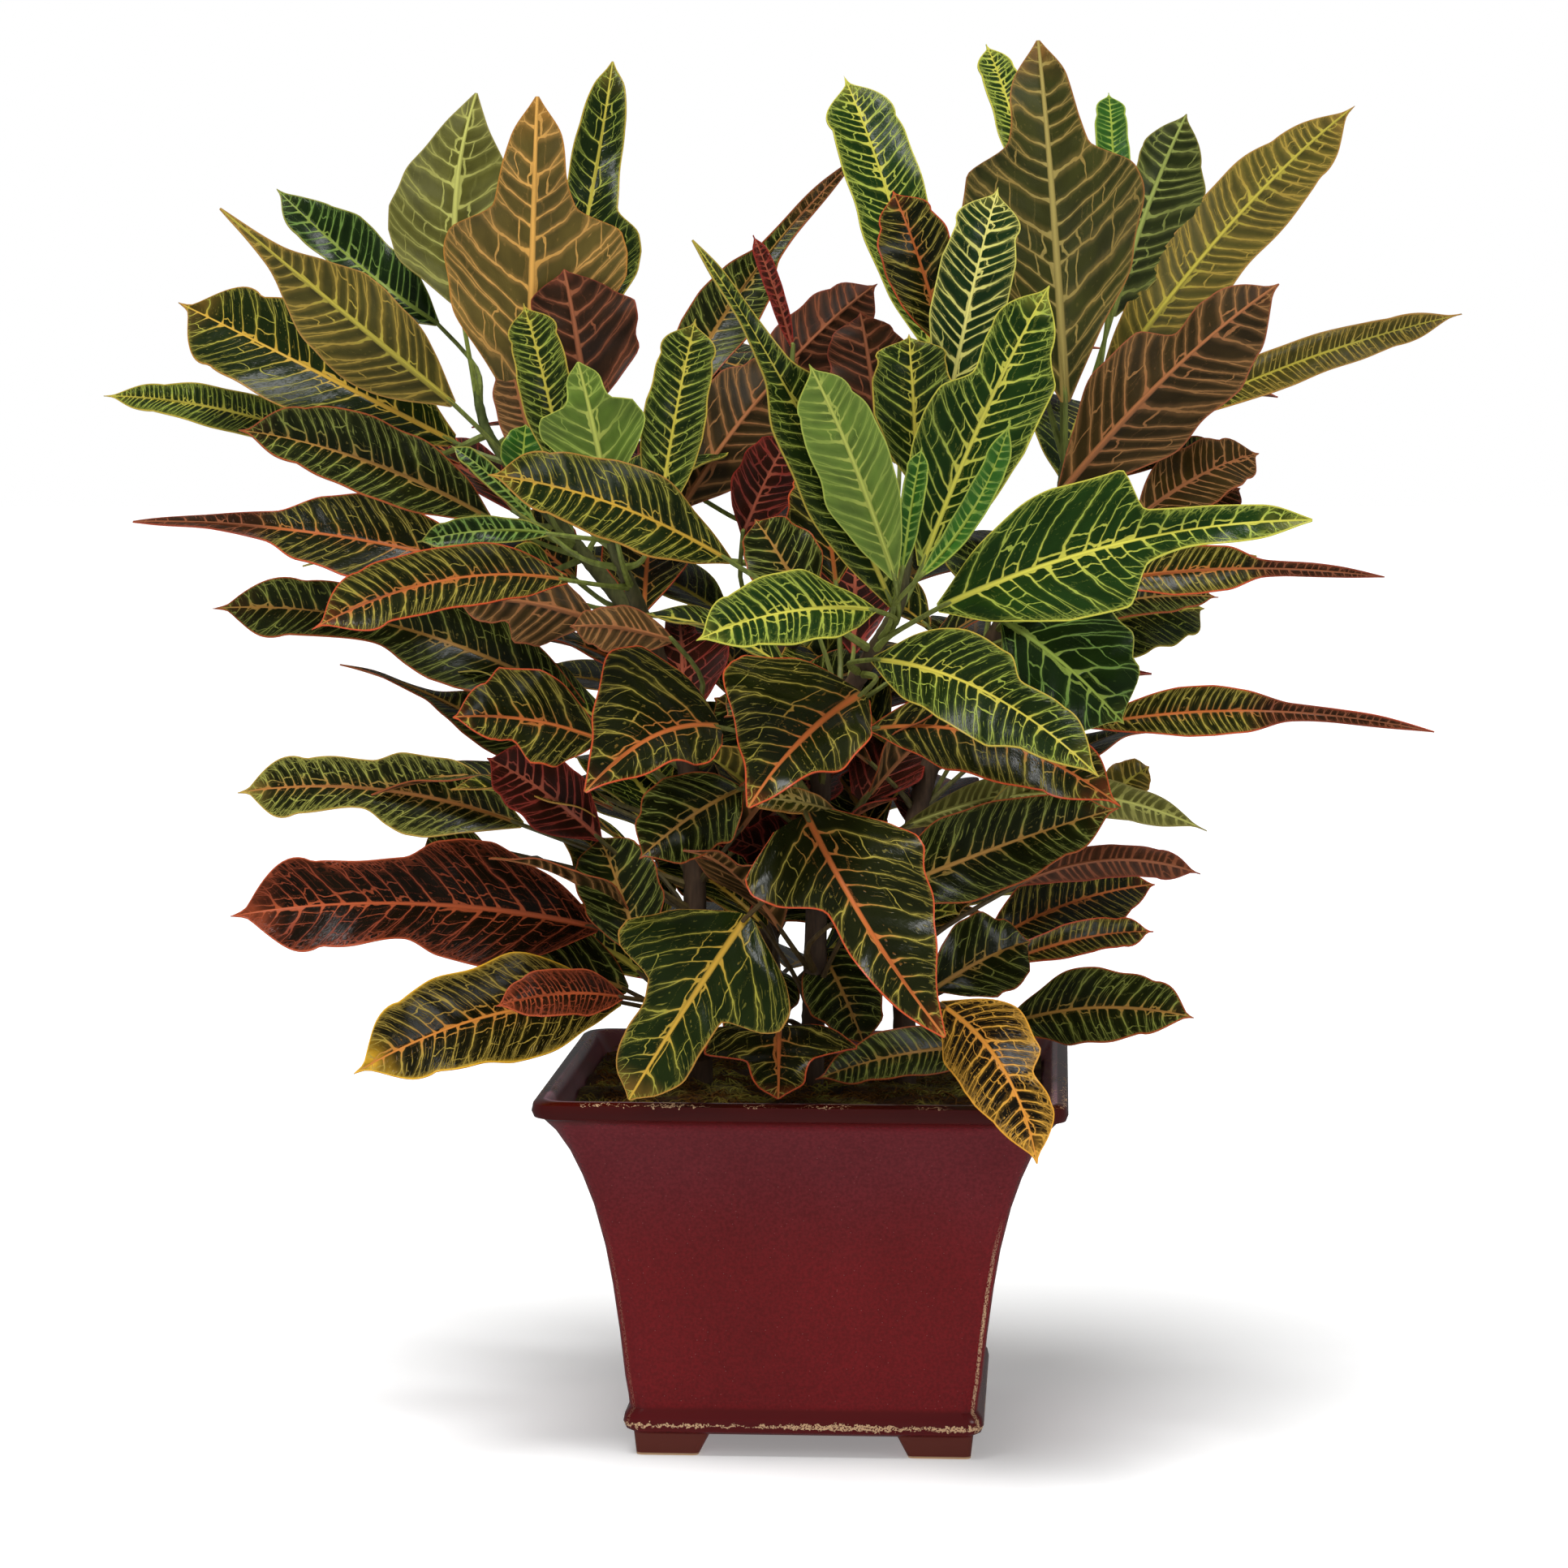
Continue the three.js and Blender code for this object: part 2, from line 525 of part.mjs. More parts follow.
// A leaf: its stalk and its folded, waved blade, whose two sides are split into triangles alike
function leafSolid(shown, number, lines) {
  const { wide, shape, fold, seen, from } = shown;
  const half = (wide / 2) * STEP * ((VIEW_DISTANCE - from[2]) / VIEW_DISTANCE);
  const rise = Math.sin(THREE.MathUtils.degToRad(fold)) * (seen === "under" ? -1 : 1);
  const rings = stalkRings(shown, number, lines);
  for (const [share, left, right = left] of SHAPES[shape]) {
    const { point, along, facing, right: aside } = midrib(shown, share);
    const across = [[-1, left], [0, 0], [1, right]].map(([sign, width]) => {
      const reach = half * width;
      const ripple = Math.sin(WAVE.turns * share + WAVE.drift * chance(number, sign + 2)) * Math.abs(sign);
      const eased = Math.min(1, 4 * (1 - share)) * Math.min(1, 8 * share);
      return point
        .clone()
        .addScaledVector(aside, sign * reach)
        .addScaledVector(along, VEIN_RAKE * reach * (1 - share))
        .addScaledVector(facing, rise * reach + WAVE.share * half * ripple * eased);
    });
    rings.push(sixPoints(across, facing, BLADE_THICKNESS / 2, BLADE_THICKNESS / 2));
  }
  const triangles = [];
  for (let a = 0; a < 6 * (rings.length - 1); a += 6) {
    for (const k of [0, 1]) {
      triangles.push(a + k, a + k + 1, a + k + 7, a + k, a + k + 7, a + k + 6);
      triangles.push(a + k + 3, a + k + 4, a + k + 9, a + k + 4, a + k + 10, a + k + 9);
    }
    triangles.push(a + 2, a + 3, a + 9, a + 2, a + 9, a + 8, a + 5, a, a + 6, a + 5, a + 6, a + 11);
  }
  const last = 6 * (rings.length - 1);
  for (let k = 1; k < 5; k += 1) {
    triangles.push(0, k + 1, k, last, last + k, last + k + 1);
  }
  return solidOf(rings.flat(), triangles);
}

// The leaves of a fan, each as a leaf of the front view
function fanned({ at, count, bearings, rise, length, wide }, number) {
  return Array.from({ length: count }, (_, i) => {
    const jitter = 2 * chance(number, i) - 1;
    const share = count > 1 ? i / (count - 1) : 0.5;
    const bearing = THREE.MathUtils.degToRad(bearings[0] + (bearings[1] - bearings[0]) * share + 5 * jitter);
    const lift = THREE.MathUtils.degToRad(rise + 10 * (i % 2) + 5 * jitter);
    const way = [Math.sin(bearing) * Math.cos(lift), Math.sin(lift), -Math.cos(bearing) * Math.cos(lift)];
    const along = (distance) => [
      at[0] + (way[0] * distance) / STEP,
      at[1] - (way[1] * distance) / STEP,
      at[2] + way[2] * distance,
    ];
    const shape = Object.keys(SHAPES)[(number * 3 + i * 2) % Object.keys(SHAPES).length];
    const options = { face: [way[0] * 0.2, 1, 0.2], arch: [0, 0.1, 0] };
    return leaf(along(34), along(34 + length * (1 + 0.1 * jitter)), wide, shape, options);
  });
}

function leavesOf({ leaves, fans }, number) {
  return [...leaves, ...fans.flatMap((each, i) => fanned(each, 10 * number + i))];
}

// Stem, branches, stalks and leaves of one plant, grown together
function plant(shown, number) {
  const lines = limbs(shown);
  const parts = shown.branches.map(({ radius: [thick, thin] }, i) => {
    const points = [...lines[i]];
    const radii = points.map((_, k) => thick + ((thin - thick) * k) / (points.length - 1));
    if (i === 0) {
      points.unshift(points[0].clone().setZ(HOLE_FLOOR + GAP));
      radii.unshift(thick);
    }
    return rod(points, radii, STEM_SIDES);
  });
  leavesOf(shown, number).forEach((each, i) => parts.push(leafSolid(each, 100 * number + i, lines)));
  return Manifold.union(parts);
}

const CERAMIC = { color: 0x6b1a22, roughness: 0.25, metalness: 0 };
const EARTH = { color: 0x2b2119, roughness: 0.95, metalness: 0 };
const MOSS = { color: 0x4a4418, roughness: 0.95, metalness: 0 };
const FOLIAGE = { color: 0x39461c, roughness: 0.4, metalness: 0 };

const solids = [
  ["pot", pot(), CERAMIC],
  ["soil", soil(), EARTH],
  ["moss", moss(), MOSS],
  ...Object.entries(PLANTS).map(([name, shown], i) => [`croton_${name}`, plant(shown, i), FOLIAGE]),
];

const part = new THREE.Group();
part.name = "potted_croton";
for (const [name, solid, look] of solids) {
  const { vertProperties, triVerts } = solid.getMesh();
  const geometry = new THREE.BufferGeometry();
  geometry.setAttribute("position", new THREE.BufferAttribute(vertProperties, 3));
  geometry.setIndex(new THREE.BufferAttribute(triVerts, 1));
  geometry.computeVertexNormals();
  const mesh = new THREE.Mesh(geometry, new THREE.MeshStandardMaterial(look));
  mesh.name = name;
  part.add(mesh);
}

// The part stands centred on its origin
const box = new THREE.Box3().setFromObject(part);
for (const { geometry } of part.children) {
  geometry.translate(-(box.min.x + box.max.x) / 2, -(box.min.y + box.max.y) / 2, -box.min.z);
}

export default part;
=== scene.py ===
import logging
import math
from dataclasses import dataclass, field
from enum import Enum
from functools import cache, partial, reduce
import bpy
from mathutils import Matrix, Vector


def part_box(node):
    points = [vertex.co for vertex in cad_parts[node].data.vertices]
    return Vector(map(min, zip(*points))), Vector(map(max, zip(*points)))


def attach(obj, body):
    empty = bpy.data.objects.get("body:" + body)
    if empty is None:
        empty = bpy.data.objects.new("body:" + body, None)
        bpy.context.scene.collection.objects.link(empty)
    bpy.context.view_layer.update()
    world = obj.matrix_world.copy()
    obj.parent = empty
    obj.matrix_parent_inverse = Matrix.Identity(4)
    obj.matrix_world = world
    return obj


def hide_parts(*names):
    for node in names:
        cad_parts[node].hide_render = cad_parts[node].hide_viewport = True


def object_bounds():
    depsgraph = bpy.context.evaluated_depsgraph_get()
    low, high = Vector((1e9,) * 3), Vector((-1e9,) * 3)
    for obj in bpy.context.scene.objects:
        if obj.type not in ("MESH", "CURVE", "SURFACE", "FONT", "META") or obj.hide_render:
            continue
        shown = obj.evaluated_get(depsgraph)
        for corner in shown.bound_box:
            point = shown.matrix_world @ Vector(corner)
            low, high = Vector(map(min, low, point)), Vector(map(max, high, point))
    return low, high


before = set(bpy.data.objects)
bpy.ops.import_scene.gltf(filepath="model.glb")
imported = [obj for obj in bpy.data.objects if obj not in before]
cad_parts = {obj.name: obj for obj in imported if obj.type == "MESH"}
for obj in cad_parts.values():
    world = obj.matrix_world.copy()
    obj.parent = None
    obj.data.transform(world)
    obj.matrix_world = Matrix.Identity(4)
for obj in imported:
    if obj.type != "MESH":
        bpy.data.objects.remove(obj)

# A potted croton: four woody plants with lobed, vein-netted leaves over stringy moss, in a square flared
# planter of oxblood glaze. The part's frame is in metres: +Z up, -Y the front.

from types import SimpleNamespace

import bpy
import numpy as np
from bpy.types import ID, Material, Mesh, Node, NodeSocket, NodeTree, Object
from mathutils import Matrix

first_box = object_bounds()
log = logging.getLogger("potted_croton")

MM = 0.001
BODY = "root"

# The front view that the plants are laid out in: steps from its top left corner, and depth in
# millimetres towards the viewer
STEP = 0.4
FRAME_STEPS = 1932
VIEW_MIDDLE = 966
VIEW_DISTANCE = 2200.0
VIEW_TURN = math.radians(3.5)
VIEW_DIP = math.radians(5)
VIEW_TARGET = np.array([-14.0, -1.0, 318.0])
TO_RIGHT = np.array([math.cos(VIEW_TURN), math.sin(VIEW_TURN), 0.0])
TO_VIEWER = np.array([
    math.sin(VIEW_TURN) * math.cos(VIEW_DIP),
    -math.cos(VIEW_TURN) * math.cos(VIEW_DIP),
    math.sin(VIEW_DIP),
])
TO_TOP = np.cross(TO_VIEWER, TO_RIGHT)
SENSOR = 36.0

# Leaves and stems, in millimetres, and BLADE_COLUMNS in shares of the half width: where a blade's
# lengthwise edges lie, close by the rib and the margin
BLADE_THICKNESS = 0.7
BLADE_COLUMNS = (0, 0.035, 0.08, 0.19, 0.32, 0.46, 0.6, 0.74, 0.87, 1)
BLADE_ROW = 2.5
LEAST_ROWS, MOST_ROWS = 18, 68
VEIN_RAKE = 0.36
WAVE_SHARE, WAVE_TURNS, WAVE_DRIFT = 0.07, 14.0, 6.0
STALK_REACH, STALK_DROP = 24.0, 36
MOSS_TOP = 167.5
STEM_FOOT, STEM_STRAIGHT_TOP = MOSS_TOP - 14, 182.0
FAN_START = 34
FAN_STEEPER, FAN_UNEVEN = 10, 5

# The property that a node's mode is kept in
MODES = {
    "Math": "operation", "VectorMath": "operation", "MapRange": "interpolation_type", "Mix": "blend_type",
    "TexVoronoi": "feature",
}

Colour = tuple[float, float, float, float]
Triple = tuple[float, float, float]


def linear(code: str) -> Colour:
    """Turns an sRGB hex colour into a linear one.

    Args:
        code: the colour as #rrggbb.

    Returns:
        Red, green, blue and alpha.
    """
    parts = [int(code[i:i + 2], 16) / 255 for i in (1, 3, 5)]
    return (*(c / 12.92 if c <= 0.04045 else ((c + 0.055) / 1.055) ** 2.4 for c in parts), 1.0)


def add_node(tree: NodeTree, kind: str, *given: object, **named: object) -> Node:
    """Adds a node with its settings and links.

    What an input gets is a value, a colour as #rrggbb, a socket, or a node whose first open output is meant.

    Args:
        tree: the node tree.
        kind: the node's type without ShaderNode, and after a space its mode.
        *given: what its open inputs get, in their order.
        **named: what its properties and inputs of these names get.

    Returns:
        The node.
    """
    kind, _, mode = kind.partition(" ")
    node = tree.nodes.new("ShaderNode" + kind)
    if mode:
        setattr(node, MODES[kind], mode)
    if kind == "Mix":
        node.data_type = "RGBA"
    pairs = []
    for key, value in named.items():
        socket = node.inputs.get(key.replace("_", " "))
        if socket is None:
            setattr(node, key, value)
        else:
            pairs.append((socket, value))
    pairs += zip([socket for socket in node.inputs if socket.enabled], given)
    for socket, value in pairs:
        if isinstance(value, Node):
            value = next(output for output in value.outputs if output.enabled)
        if isinstance(value, NodeSocket):
            tree.links.new(value, socket)
        else:
            socket.default_value = linear(value) if isinstance(value, str) else value
    return node


def chained(put: partial, kind: str, *parts: object) -> Node:
    """Joins parts one after another by nodes of one kind, as in a product of masks."""
    return reduce(lambda before, part: put(kind, before, part), parts)


@dataclass(frozen=True)
class Finish:
    """A finish, named for the real material."""

    name: str

    def surface(self, put: partial) -> dict[str, object]:
        """What the shader's inputs get. put is add_node for the material's tree."""
        raise NotImplementedError

    @cache
    def material(self) -> Material:
        """Makes the material at the first call.

        Returns:
            The material.
        """
        made = bpy.data.materials.new(self.name)
        made.use_nodes = True
        made.node_tree.nodes.clear()
        put = partial(add_node, made.node_tree)
        put("OutputMaterial", put("BsdfPrincipled", **self.surface(put)))
        return made


def chance(first: float, second: float) -> float:
    """The same number between 0 and 1 each time for a pair of whole numbers."""
    wild = math.sin(first * 12.9898 + second * 78.233) * 43758.5453
    return wild - math.floor(wild)


def unit(vectors: np.ndarray) -> np.ndarray:
    """Vectors of length 1 along the given ones."""
    return vectors / np.linalg.norm(vectors, axis=-1, keepdims=True)


def placed(spot: Triple) -> np.ndarray:
    """Places a point of the front view.

    Args:
        spot: steps to the right, steps down, and depth.

    Returns:
        The point in millimetres from the planter's axis.
    """
    across, down, depth = spot
    nearer = (VIEW_DISTANCE - depth) / VIEW_DISTANCE * STEP
    aside = TO_RIGHT * (across - VIEW_MIDDLE) * nearer
    return VIEW_TARGET + aside + TO_TOP * (VIEW_MIDDLE - down) * nearer + TO_VIEWER * depth


def directed(way: Triple) -> np.ndarray:
    """A direction given as right, up and towards the viewer."""
    return TO_RIGHT * way[0] + TO_TOP * way[1] + TO_VIEWER * way[2]


def planter_axis() -> np.ndarray:
    """The foot of the planter's axis in metres."""
    low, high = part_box("pot")
    return np.array([(low.x + high.x) / 2, (low.y + high.y) / 2, 0.0])


AXIS = planter_axis()


def in_metres(points: np.ndarray) -> np.ndarray:
    """Points in millimetres from the planter's axis as points in metres in the part's frame."""
    return np.asarray(points) * MM + AXIS


def deselect_all() -> None:
    """Leaves nothing selected."""
    if bpy.context.mode != "OBJECT":
        bpy.ops.object.mode_set(mode="OBJECT")
    bpy.ops.object.select_all(action="DESELECT")


def pick(*objects: Object) -> None:
    """Selects only these objects.

    Args:
        *objects: the objects, of which the first becomes the active one.
    """
    deselect_all()
    for each in objects:
        each.select_set(True)
    bpy.context.view_layer.objects.active = objects[0]


def edit_all() -> None:
    """Opens the active mesh for editing with everything selected."""
    bpy.ops.object.mode_set(mode="EDIT")
    bpy.ops.mesh.select_all(action="SELECT")


def extrude(move: Triple, growth: Triple, centre: np.ndarray) -> None:
    """Extrudes what is selected and then scales it from a centre."""
    bpy.ops.mesh.extrude_region_move(TRANSFORM_OT_translate={"value": move})
    bpy.ops.transform.resize(value=growth, center_override=tuple(centre))


def face_outwards() -> None:
    """Turns all faces of the mesh outwards and ends its editing."""
    bpy.ops.mesh.select_all(action="SELECT")
    bpy.ops.mesh.normals_make_consistent(inside=False)
    bpy.ops.object.mode_set(mode="OBJECT")


def smooth_below(degrees: float) -> None:
    """Smooths the picked object where its faces meet at less than an angle."""
    bpy.ops.object.shade_smooth_by_angle(angle=math.radians(degrees))


def dress(piece: Object, *finishes: Finish) -> None:
    """Gives an object these finishes in place of those that it has.

    Args:
        piece: the object.
        *finishes: its finishes, one a material slot.
    """
    piece.data.materials.clear()
    for finish in finishes:
        piece.data.materials.append(finish.material())


def apply_modifier(target: Object, kind: str, **settings: object) -> None:
    """Adds a modifier to an object and applies it.

    Args:
        target: the object.
        kind: the modifier's type.
        **settings: its properties.
    """
    pick(target)
    modifier = target.modifiers.new(kind.title(), kind)
    for key, value in settings.items():
        setattr(modifier, key, value)
    bpy.ops.object.modifier_apply(modifier=modifier.name)


def read_points(mesh: Mesh) -> np.ndarray:
    """Reads the vertices of a mesh.

    Args:
        mesh: the mesh.

    Returns:
        Their places, one a row.
    """
    flat = np.empty(3 * len(mesh.vertices))
    mesh.vertices.foreach_get("co", flat)
    return flat.reshape(-1, 3)


def write_points(mesh: Mesh, points: np.ndarray) -> None:
    """Moves the vertices of a mesh."""
    mesh.vertices.foreach_set("co", np.asarray(points, dtype=np.float32).ravel())
    mesh.update()


def write_attribute(mesh: Mesh, name: str, values: np.ndarray) -> None:
    """Gives a mesh a value at each vertex: a colour where the rows have four numbers, or else a vector."""
    kind, part = ("FLOAT_COLOR", "color") if values.shape[1] == 4 else ("FLOAT_VECTOR", "vector")
    mesh.attributes.new(name, kind, "POINT").data.foreach_set(part, values.astype(np.float32).ravel())


def finish_piece(piece: Object, name: str, slot: str, *nodes: str) -> None:
    """Names a piece, gives it its body, and reports it.

    Args:
        piece: the object.
        name: its name.
        slot: the record's material slot; not used.
        *nodes: the nodes of the part that it stands for.
    """
    piece.name = name
    piece.data.name = name
    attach(piece, BODY)
    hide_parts(*nodes)
    log.info("%s: %d faces", name, len(piece.data.polygons))


def smooth_line(points: np.ndarray, steps: int) -> np.ndarray:
    """A smooth curve through points.

    Args:
        points: the points or values, one a row.
        steps: how many pieces each stretch is cut into.

    Returns:
        The points of the curve.
    """
    line = np.asarray(points, dtype=float)
    held = np.vstack((2 * line[0] - line[1], line, 2 * line[-1] - line[-2]))
    made = []
    for i in range(len(line) - 1):
        a, b, c, d = held[i:i + 4]
        for k in range(steps):
            t = k / steps
            made.append(0.5 * (2 * b + (c - a) * t + (2 * a - 5 * b + 4 * c - d) * t**2
                               + (3 * b - a - 3 * c + d) * t**3))
    made.append(line[-1])
    return np.array(made)


def between_knots(knots: np.ndarray, values: np.ndarray, wanted: np.ndarray) -> np.ndarray:
    """Reads a smooth outline that passes through knots and never swings past them.

    Args:
        knots: shares along the blade, rising.
        values: the outline's width at each knot.
        wanted: the shares to read it at.

    Returns:
        The widths there.
    """
    gaps = np.diff(knots)
    slopes = np.diff(values) / gaps
    bends = np.empty(len(knots))
    bends[0], bends[-1] = slopes[0], slopes[-1]
    same_way = slopes[:-1] * slopes[1:] > 0
    total = np.where(same_way, slopes[:-1] + slopes[1:], 1.0)
    bends[1:-1] = np.where(same_way, 2 * slopes[:-1] * slopes[1:] / total, 0.0)
    at = np.clip(np.searchsorted(knots, wanted, side="right") - 1, 0, len(gaps) - 1)
    t = (wanted - knots[at]) / gaps[at]
    return (
        values[at] * (1 + 2 * t) * (1 - t) ** 2
        + gaps[at] * bends[at] * t * (1 - t) ** 2
        + values[at + 1] * t**2 * (3 - 2 * t)
        + gaps[at] * bends[at + 1] * t**2 * (t - 1)
    )


class Side(Enum):
    """The side of a leaf that shows from the front."""

    UPPER = "upper"
    UNDER = "under"


@dataclass(frozen=True)
class Tints:
    """The colours of one side of a leaf, and how its veins are drawn.

    ground lies between the veins, rib is the midrib, vein the side veins, and trim the margin and tip.
    net is how far small cells spread in from the margin, fleck how many specks lie between the veins, and
    flush how much of the tip has the trim's colour. other names the look of the leaf's other side.
    """

    ground: str
    rib: str
    vein: str
    trim: str
    net: float
    fleck: float
    flush: float
    other: str


class Look(Enum):
    """The looks of the leaves, the first ones of upper sides and the last eight of undersides."""

    DARK = Tints("#171c07", "#a5783a", "#80863c", "#a0502a", 0.2, 0.3, 0.1, "BROWN")
    GREEN = Tints("#17240a", "#bcae44", "#8c983c", "#b09a3c", 0.28, 0.3, 0.2, "OLIVE")
    GLOSSY = Tints("#142409", "#7f8f3c", "#64803a", "#8a8a3a", 0.2, 0.1, 0.1, "OLIVE")
    GILT = Tints("#182208", "#c49a38", "#9c963a", "#a87a34", 0.25, 0.3, 0.3, "KHAKI")
    LEMON = Tints("#182e0c", "#c4be4c", "#98a542", "#beb848", 0.4, 0.12, 0.3, "LIME")
    YOUNG = Tints("#2a521a", "#9aac44", "#628234", "#98a844", 0.1, 0.1, 0.15, "LIME")
    CREAM = Tints("#182c12", "#dcd478", "#cac668", "#c8c05c", 0.15, 0.06, 0.25, "OLIVE")
    EMBER = Tints("#181b07", "#b66030", "#9c8e3c", "#c0502c", 0.16, 0.3, 0.2, "RUST")
    GOLD = Tints("#1a1d07", "#b0713a", "#9c9c48", "#b89a48", 0.45, 0.5, 0.35, "KHAKI")
    BLAZE = Tints("#180f06", "#a8502c", "#843a22", "#b0502e", 0.7, 0.4, 0.55, "RUST")
    SUNTIP = Tints("#181606", "#bd7632", "#a08838", "#d8a52c", 0.42, 0.4, 0.95, "RUST")
    SUN = Tints("#151007", "#d08a38", "#cf9a3a", "#d89a34", 0.6, 0.6, 0.4, "AMBER")
    CRIMSON = Tints("#2c130c", "#99503a", "#7c2e24", "#842a20", 0.3, 0.1, 0.35, "RUST")
    OLIVE = Tints("#4c4b1a", "#b0b05c", "#8f8d48", "#8a8044", 0.15, 0.05, 0.15, "GREEN")
    AMBER = Tints("#584b1e", "#d09c4c", "#bf904a", "#a8722e", 0.15, 0.1, 0.5, "GILT")
    KHAKI = Tints("#443f16", "#a89c3c", "#9a8236", "#a0783a", 0.2, 0.1, 0.45, "GREEN")
    TAWNY = Tints("#33340f", "#98884a", "#8f783c", "#90602e", 0.2, 0.1, 0.5, "GILT")
    SAGE = Tints("#242b0c", "#8c964c", "#6e7438", "#7c7236", 0.15, 0.05, 0.15, "GREEN")
    BROWN = Tints("#2e220a", "#98603a", "#90663a", "#8e5030", 0.15, 0.1, 0.35, "DARK")
    RUST = Tints("#2c190a", "#905638", "#80482e", "#843c28", 0.1, 0.1, 0.4, "EMBER")
    LIME = Tints("#566e24", "#acb454", "#849840", "#a4b04c", 0.15, 0.05, 0.1, "LEMON")

    def other(self) -> "Look":
        """The look of the leaf's other side."""
        return Look[self.value.other]


class Shape(Enum):
    """Outlines of leaves: at shares of the length, the left and right half widths as shares of the widest."""

    BROAD = ((0, 0.07), (0.1, 0.46), (0.24, 0.88), (0.42, 1), (0.62, 0.82), (0.84, 0.34), (1, 0.02))
    OVAL = ((0, 0.08), (0.14, 0.6), (0.35, 0.97), (0.6, 0.93), (0.84, 0.52), (1, 0.02))
    SPEAR = ((0, 0.05), (0.14, 0.42), (0.3, 0.84), (0.45, 1), (0.56, 0.9), (0.66, 0.42), (0.88, 0.28),
             (1, 0.02))
    FIDDLE = ((0, 0.12), (0.1, 0.75), (0.24, 1), (0.36, 0.84, 0.9), (0.47, 0.44, 0.46), (0.72, 0.4),
              (0.91, 0.26), (1, 0.02))
    VIOLIN = ((0, 0.07), (0.11, 0.55), (0.26, 0.94), (0.4, 1), (0.49, 0.96), (0.57, 0.36), (0.86, 0.26),
              (1, 0.02))
    HEART = ((0, 0.1), (0.09, 0.62), (0.24, 1), (0.42, 0.95), (0.6, 0.64), (0.8, 0.28), (1, 0.02))
    STRAP = ((0, 0.14), (0.18, 0.74), (0.42, 1), (0.68, 0.94), (0.88, 0.54), (1, 0.03))
    WAIST = ((0, 0.08), (0.13, 0.66), (0.28, 1), (0.41, 0.8, 0.9), (0.52, 0.56, 0.62), (0.72, 0.68),
             (0.92, 0.36), (1, 0.02))
    TAIL = ((0, 0.1), (0.13, 0.66), (0.3, 1), (0.46, 0.86), (0.6, 0.36), (0.84, 0.24), (1, 0.02))
    DART = ((0, 0.08), (0.13, 0.6), (0.3, 0.95), (0.48, 1), (0.64, 0.6), (0.78, 0.24), (1, 0.02))
    LOPSIDED = ((0, 0.12), (0.1, 0.35, 0.66), (0.25, 0.5, 1), (0.43, 0.5, 0.95), (0.62, 0.4, 0.62),
                (0.82, 0.22, 0.26), (1, 0.02))
    SHOULDER = ((0, 0.3, 0.45), (0.12, 0.82, 1), (0.26, 1, 0.8), (0.4, 0.92, 0.36), (0.6, 0.66, 0.34),
                (0.82, 0.3, 0.26), (1, 0.02))
    NOTCH = ((0, 0.08), (0.12, 0.56), (0.3, 0.96), (0.47, 0.96, 1), (0.6, 0.5, 1), (0.72, 0.58, 0.76),
             (0.89, 0.34), (1, 0.02))

    def widths(self, shares: np.ndarray) -> tuple[np.ndarray, np.ndarray]:
        """The left and right half widths at shares of the length."""
        knots, left, right = (np.array([knot[i] for knot in self.value], dtype=float) for i in (0, 1, -1))
        return between_knots(knots, left, shares), between_knots(knots, right, shares)


UPPER, UNDER = Side
BROAD, OVAL, SPEAR, FIDDLE, VIOLIN, HEART, STRAP, WAIST, TAIL, DART, LOPSIDED, SHOULDER, NOTCH = Shape
DARK, GREEN, GLOSSY, GILT, LEMON, YOUNG, CREAM, EMBER, GOLD, BLAZE, SUNTIP, SUN, CRIMSON, *UNDER_LOOKS = Look
OLIVE, AMBER, KHAKI, TAWNY, SAGE, BROWN, RUST, LIME = UNDER_LOOKS
FAN_LOOKS = (DARK, GREEN, EMBER, DARK, GILT, GREEN, CRIMSON)


@dataclass(frozen=True)
class Leaf:
    """A leaf in the front view, from its stalk to its tip, with the side and look that show there.

    tail is the share of the length past which the blade has turned over, so that the other side shows.
    """

    start: Triple
    tip: Triple
    wide: float
    shape: Shape
    look: Look
    arch: Triple = (0, 0.05, 0.03)
    seen: Side = UPPER
    face: Triple = (0, 0.35, 1)
    fold: float = 11.0
    twist: float = 0
    tail: float = 2

    def midrib(self, shares: np.ndarray) -> tuple[np.ndarray, np.ndarray, np.ndarray]:
        """Runs the middle line of the blade, arched and twisted.

        Args:
            shares: shares of its length.

        Returns:
            The points there, the line's directions and the ways that the seen side faces.
        """
        start, end = placed(self.start), placed(self.tip)
        chord = end - start
        lift = directed(self.arch) * 4 * np.linalg.norm(chord)
        share = shares[:, None]
        points = start + chord * share + lift * share * (1 - share)
        along = unit(chord + lift * (1 - 2 * share))
        towards = directed(self.face)
        facing = unit(towards - along * (along @ towards)[:, None])
        turn = math.radians(self.twist) * share**2 * (3 - 2 * share)
        facing = facing * np.cos(turn) + np.cross(along, facing) * np.sin(turn)
        return points, along, facing

    def length(self) -> float:
        """The distance from stalk to tip in millimetres."""
        return float(np.linalg.norm(placed(self.tip) - placed(self.start)))

    def half_width(self) -> float:
        """Half the greatest width in millimetres."""
        return self.wide / 2 * STEP * (VIEW_DISTANCE - self.start[2]) / VIEW_DISTANCE


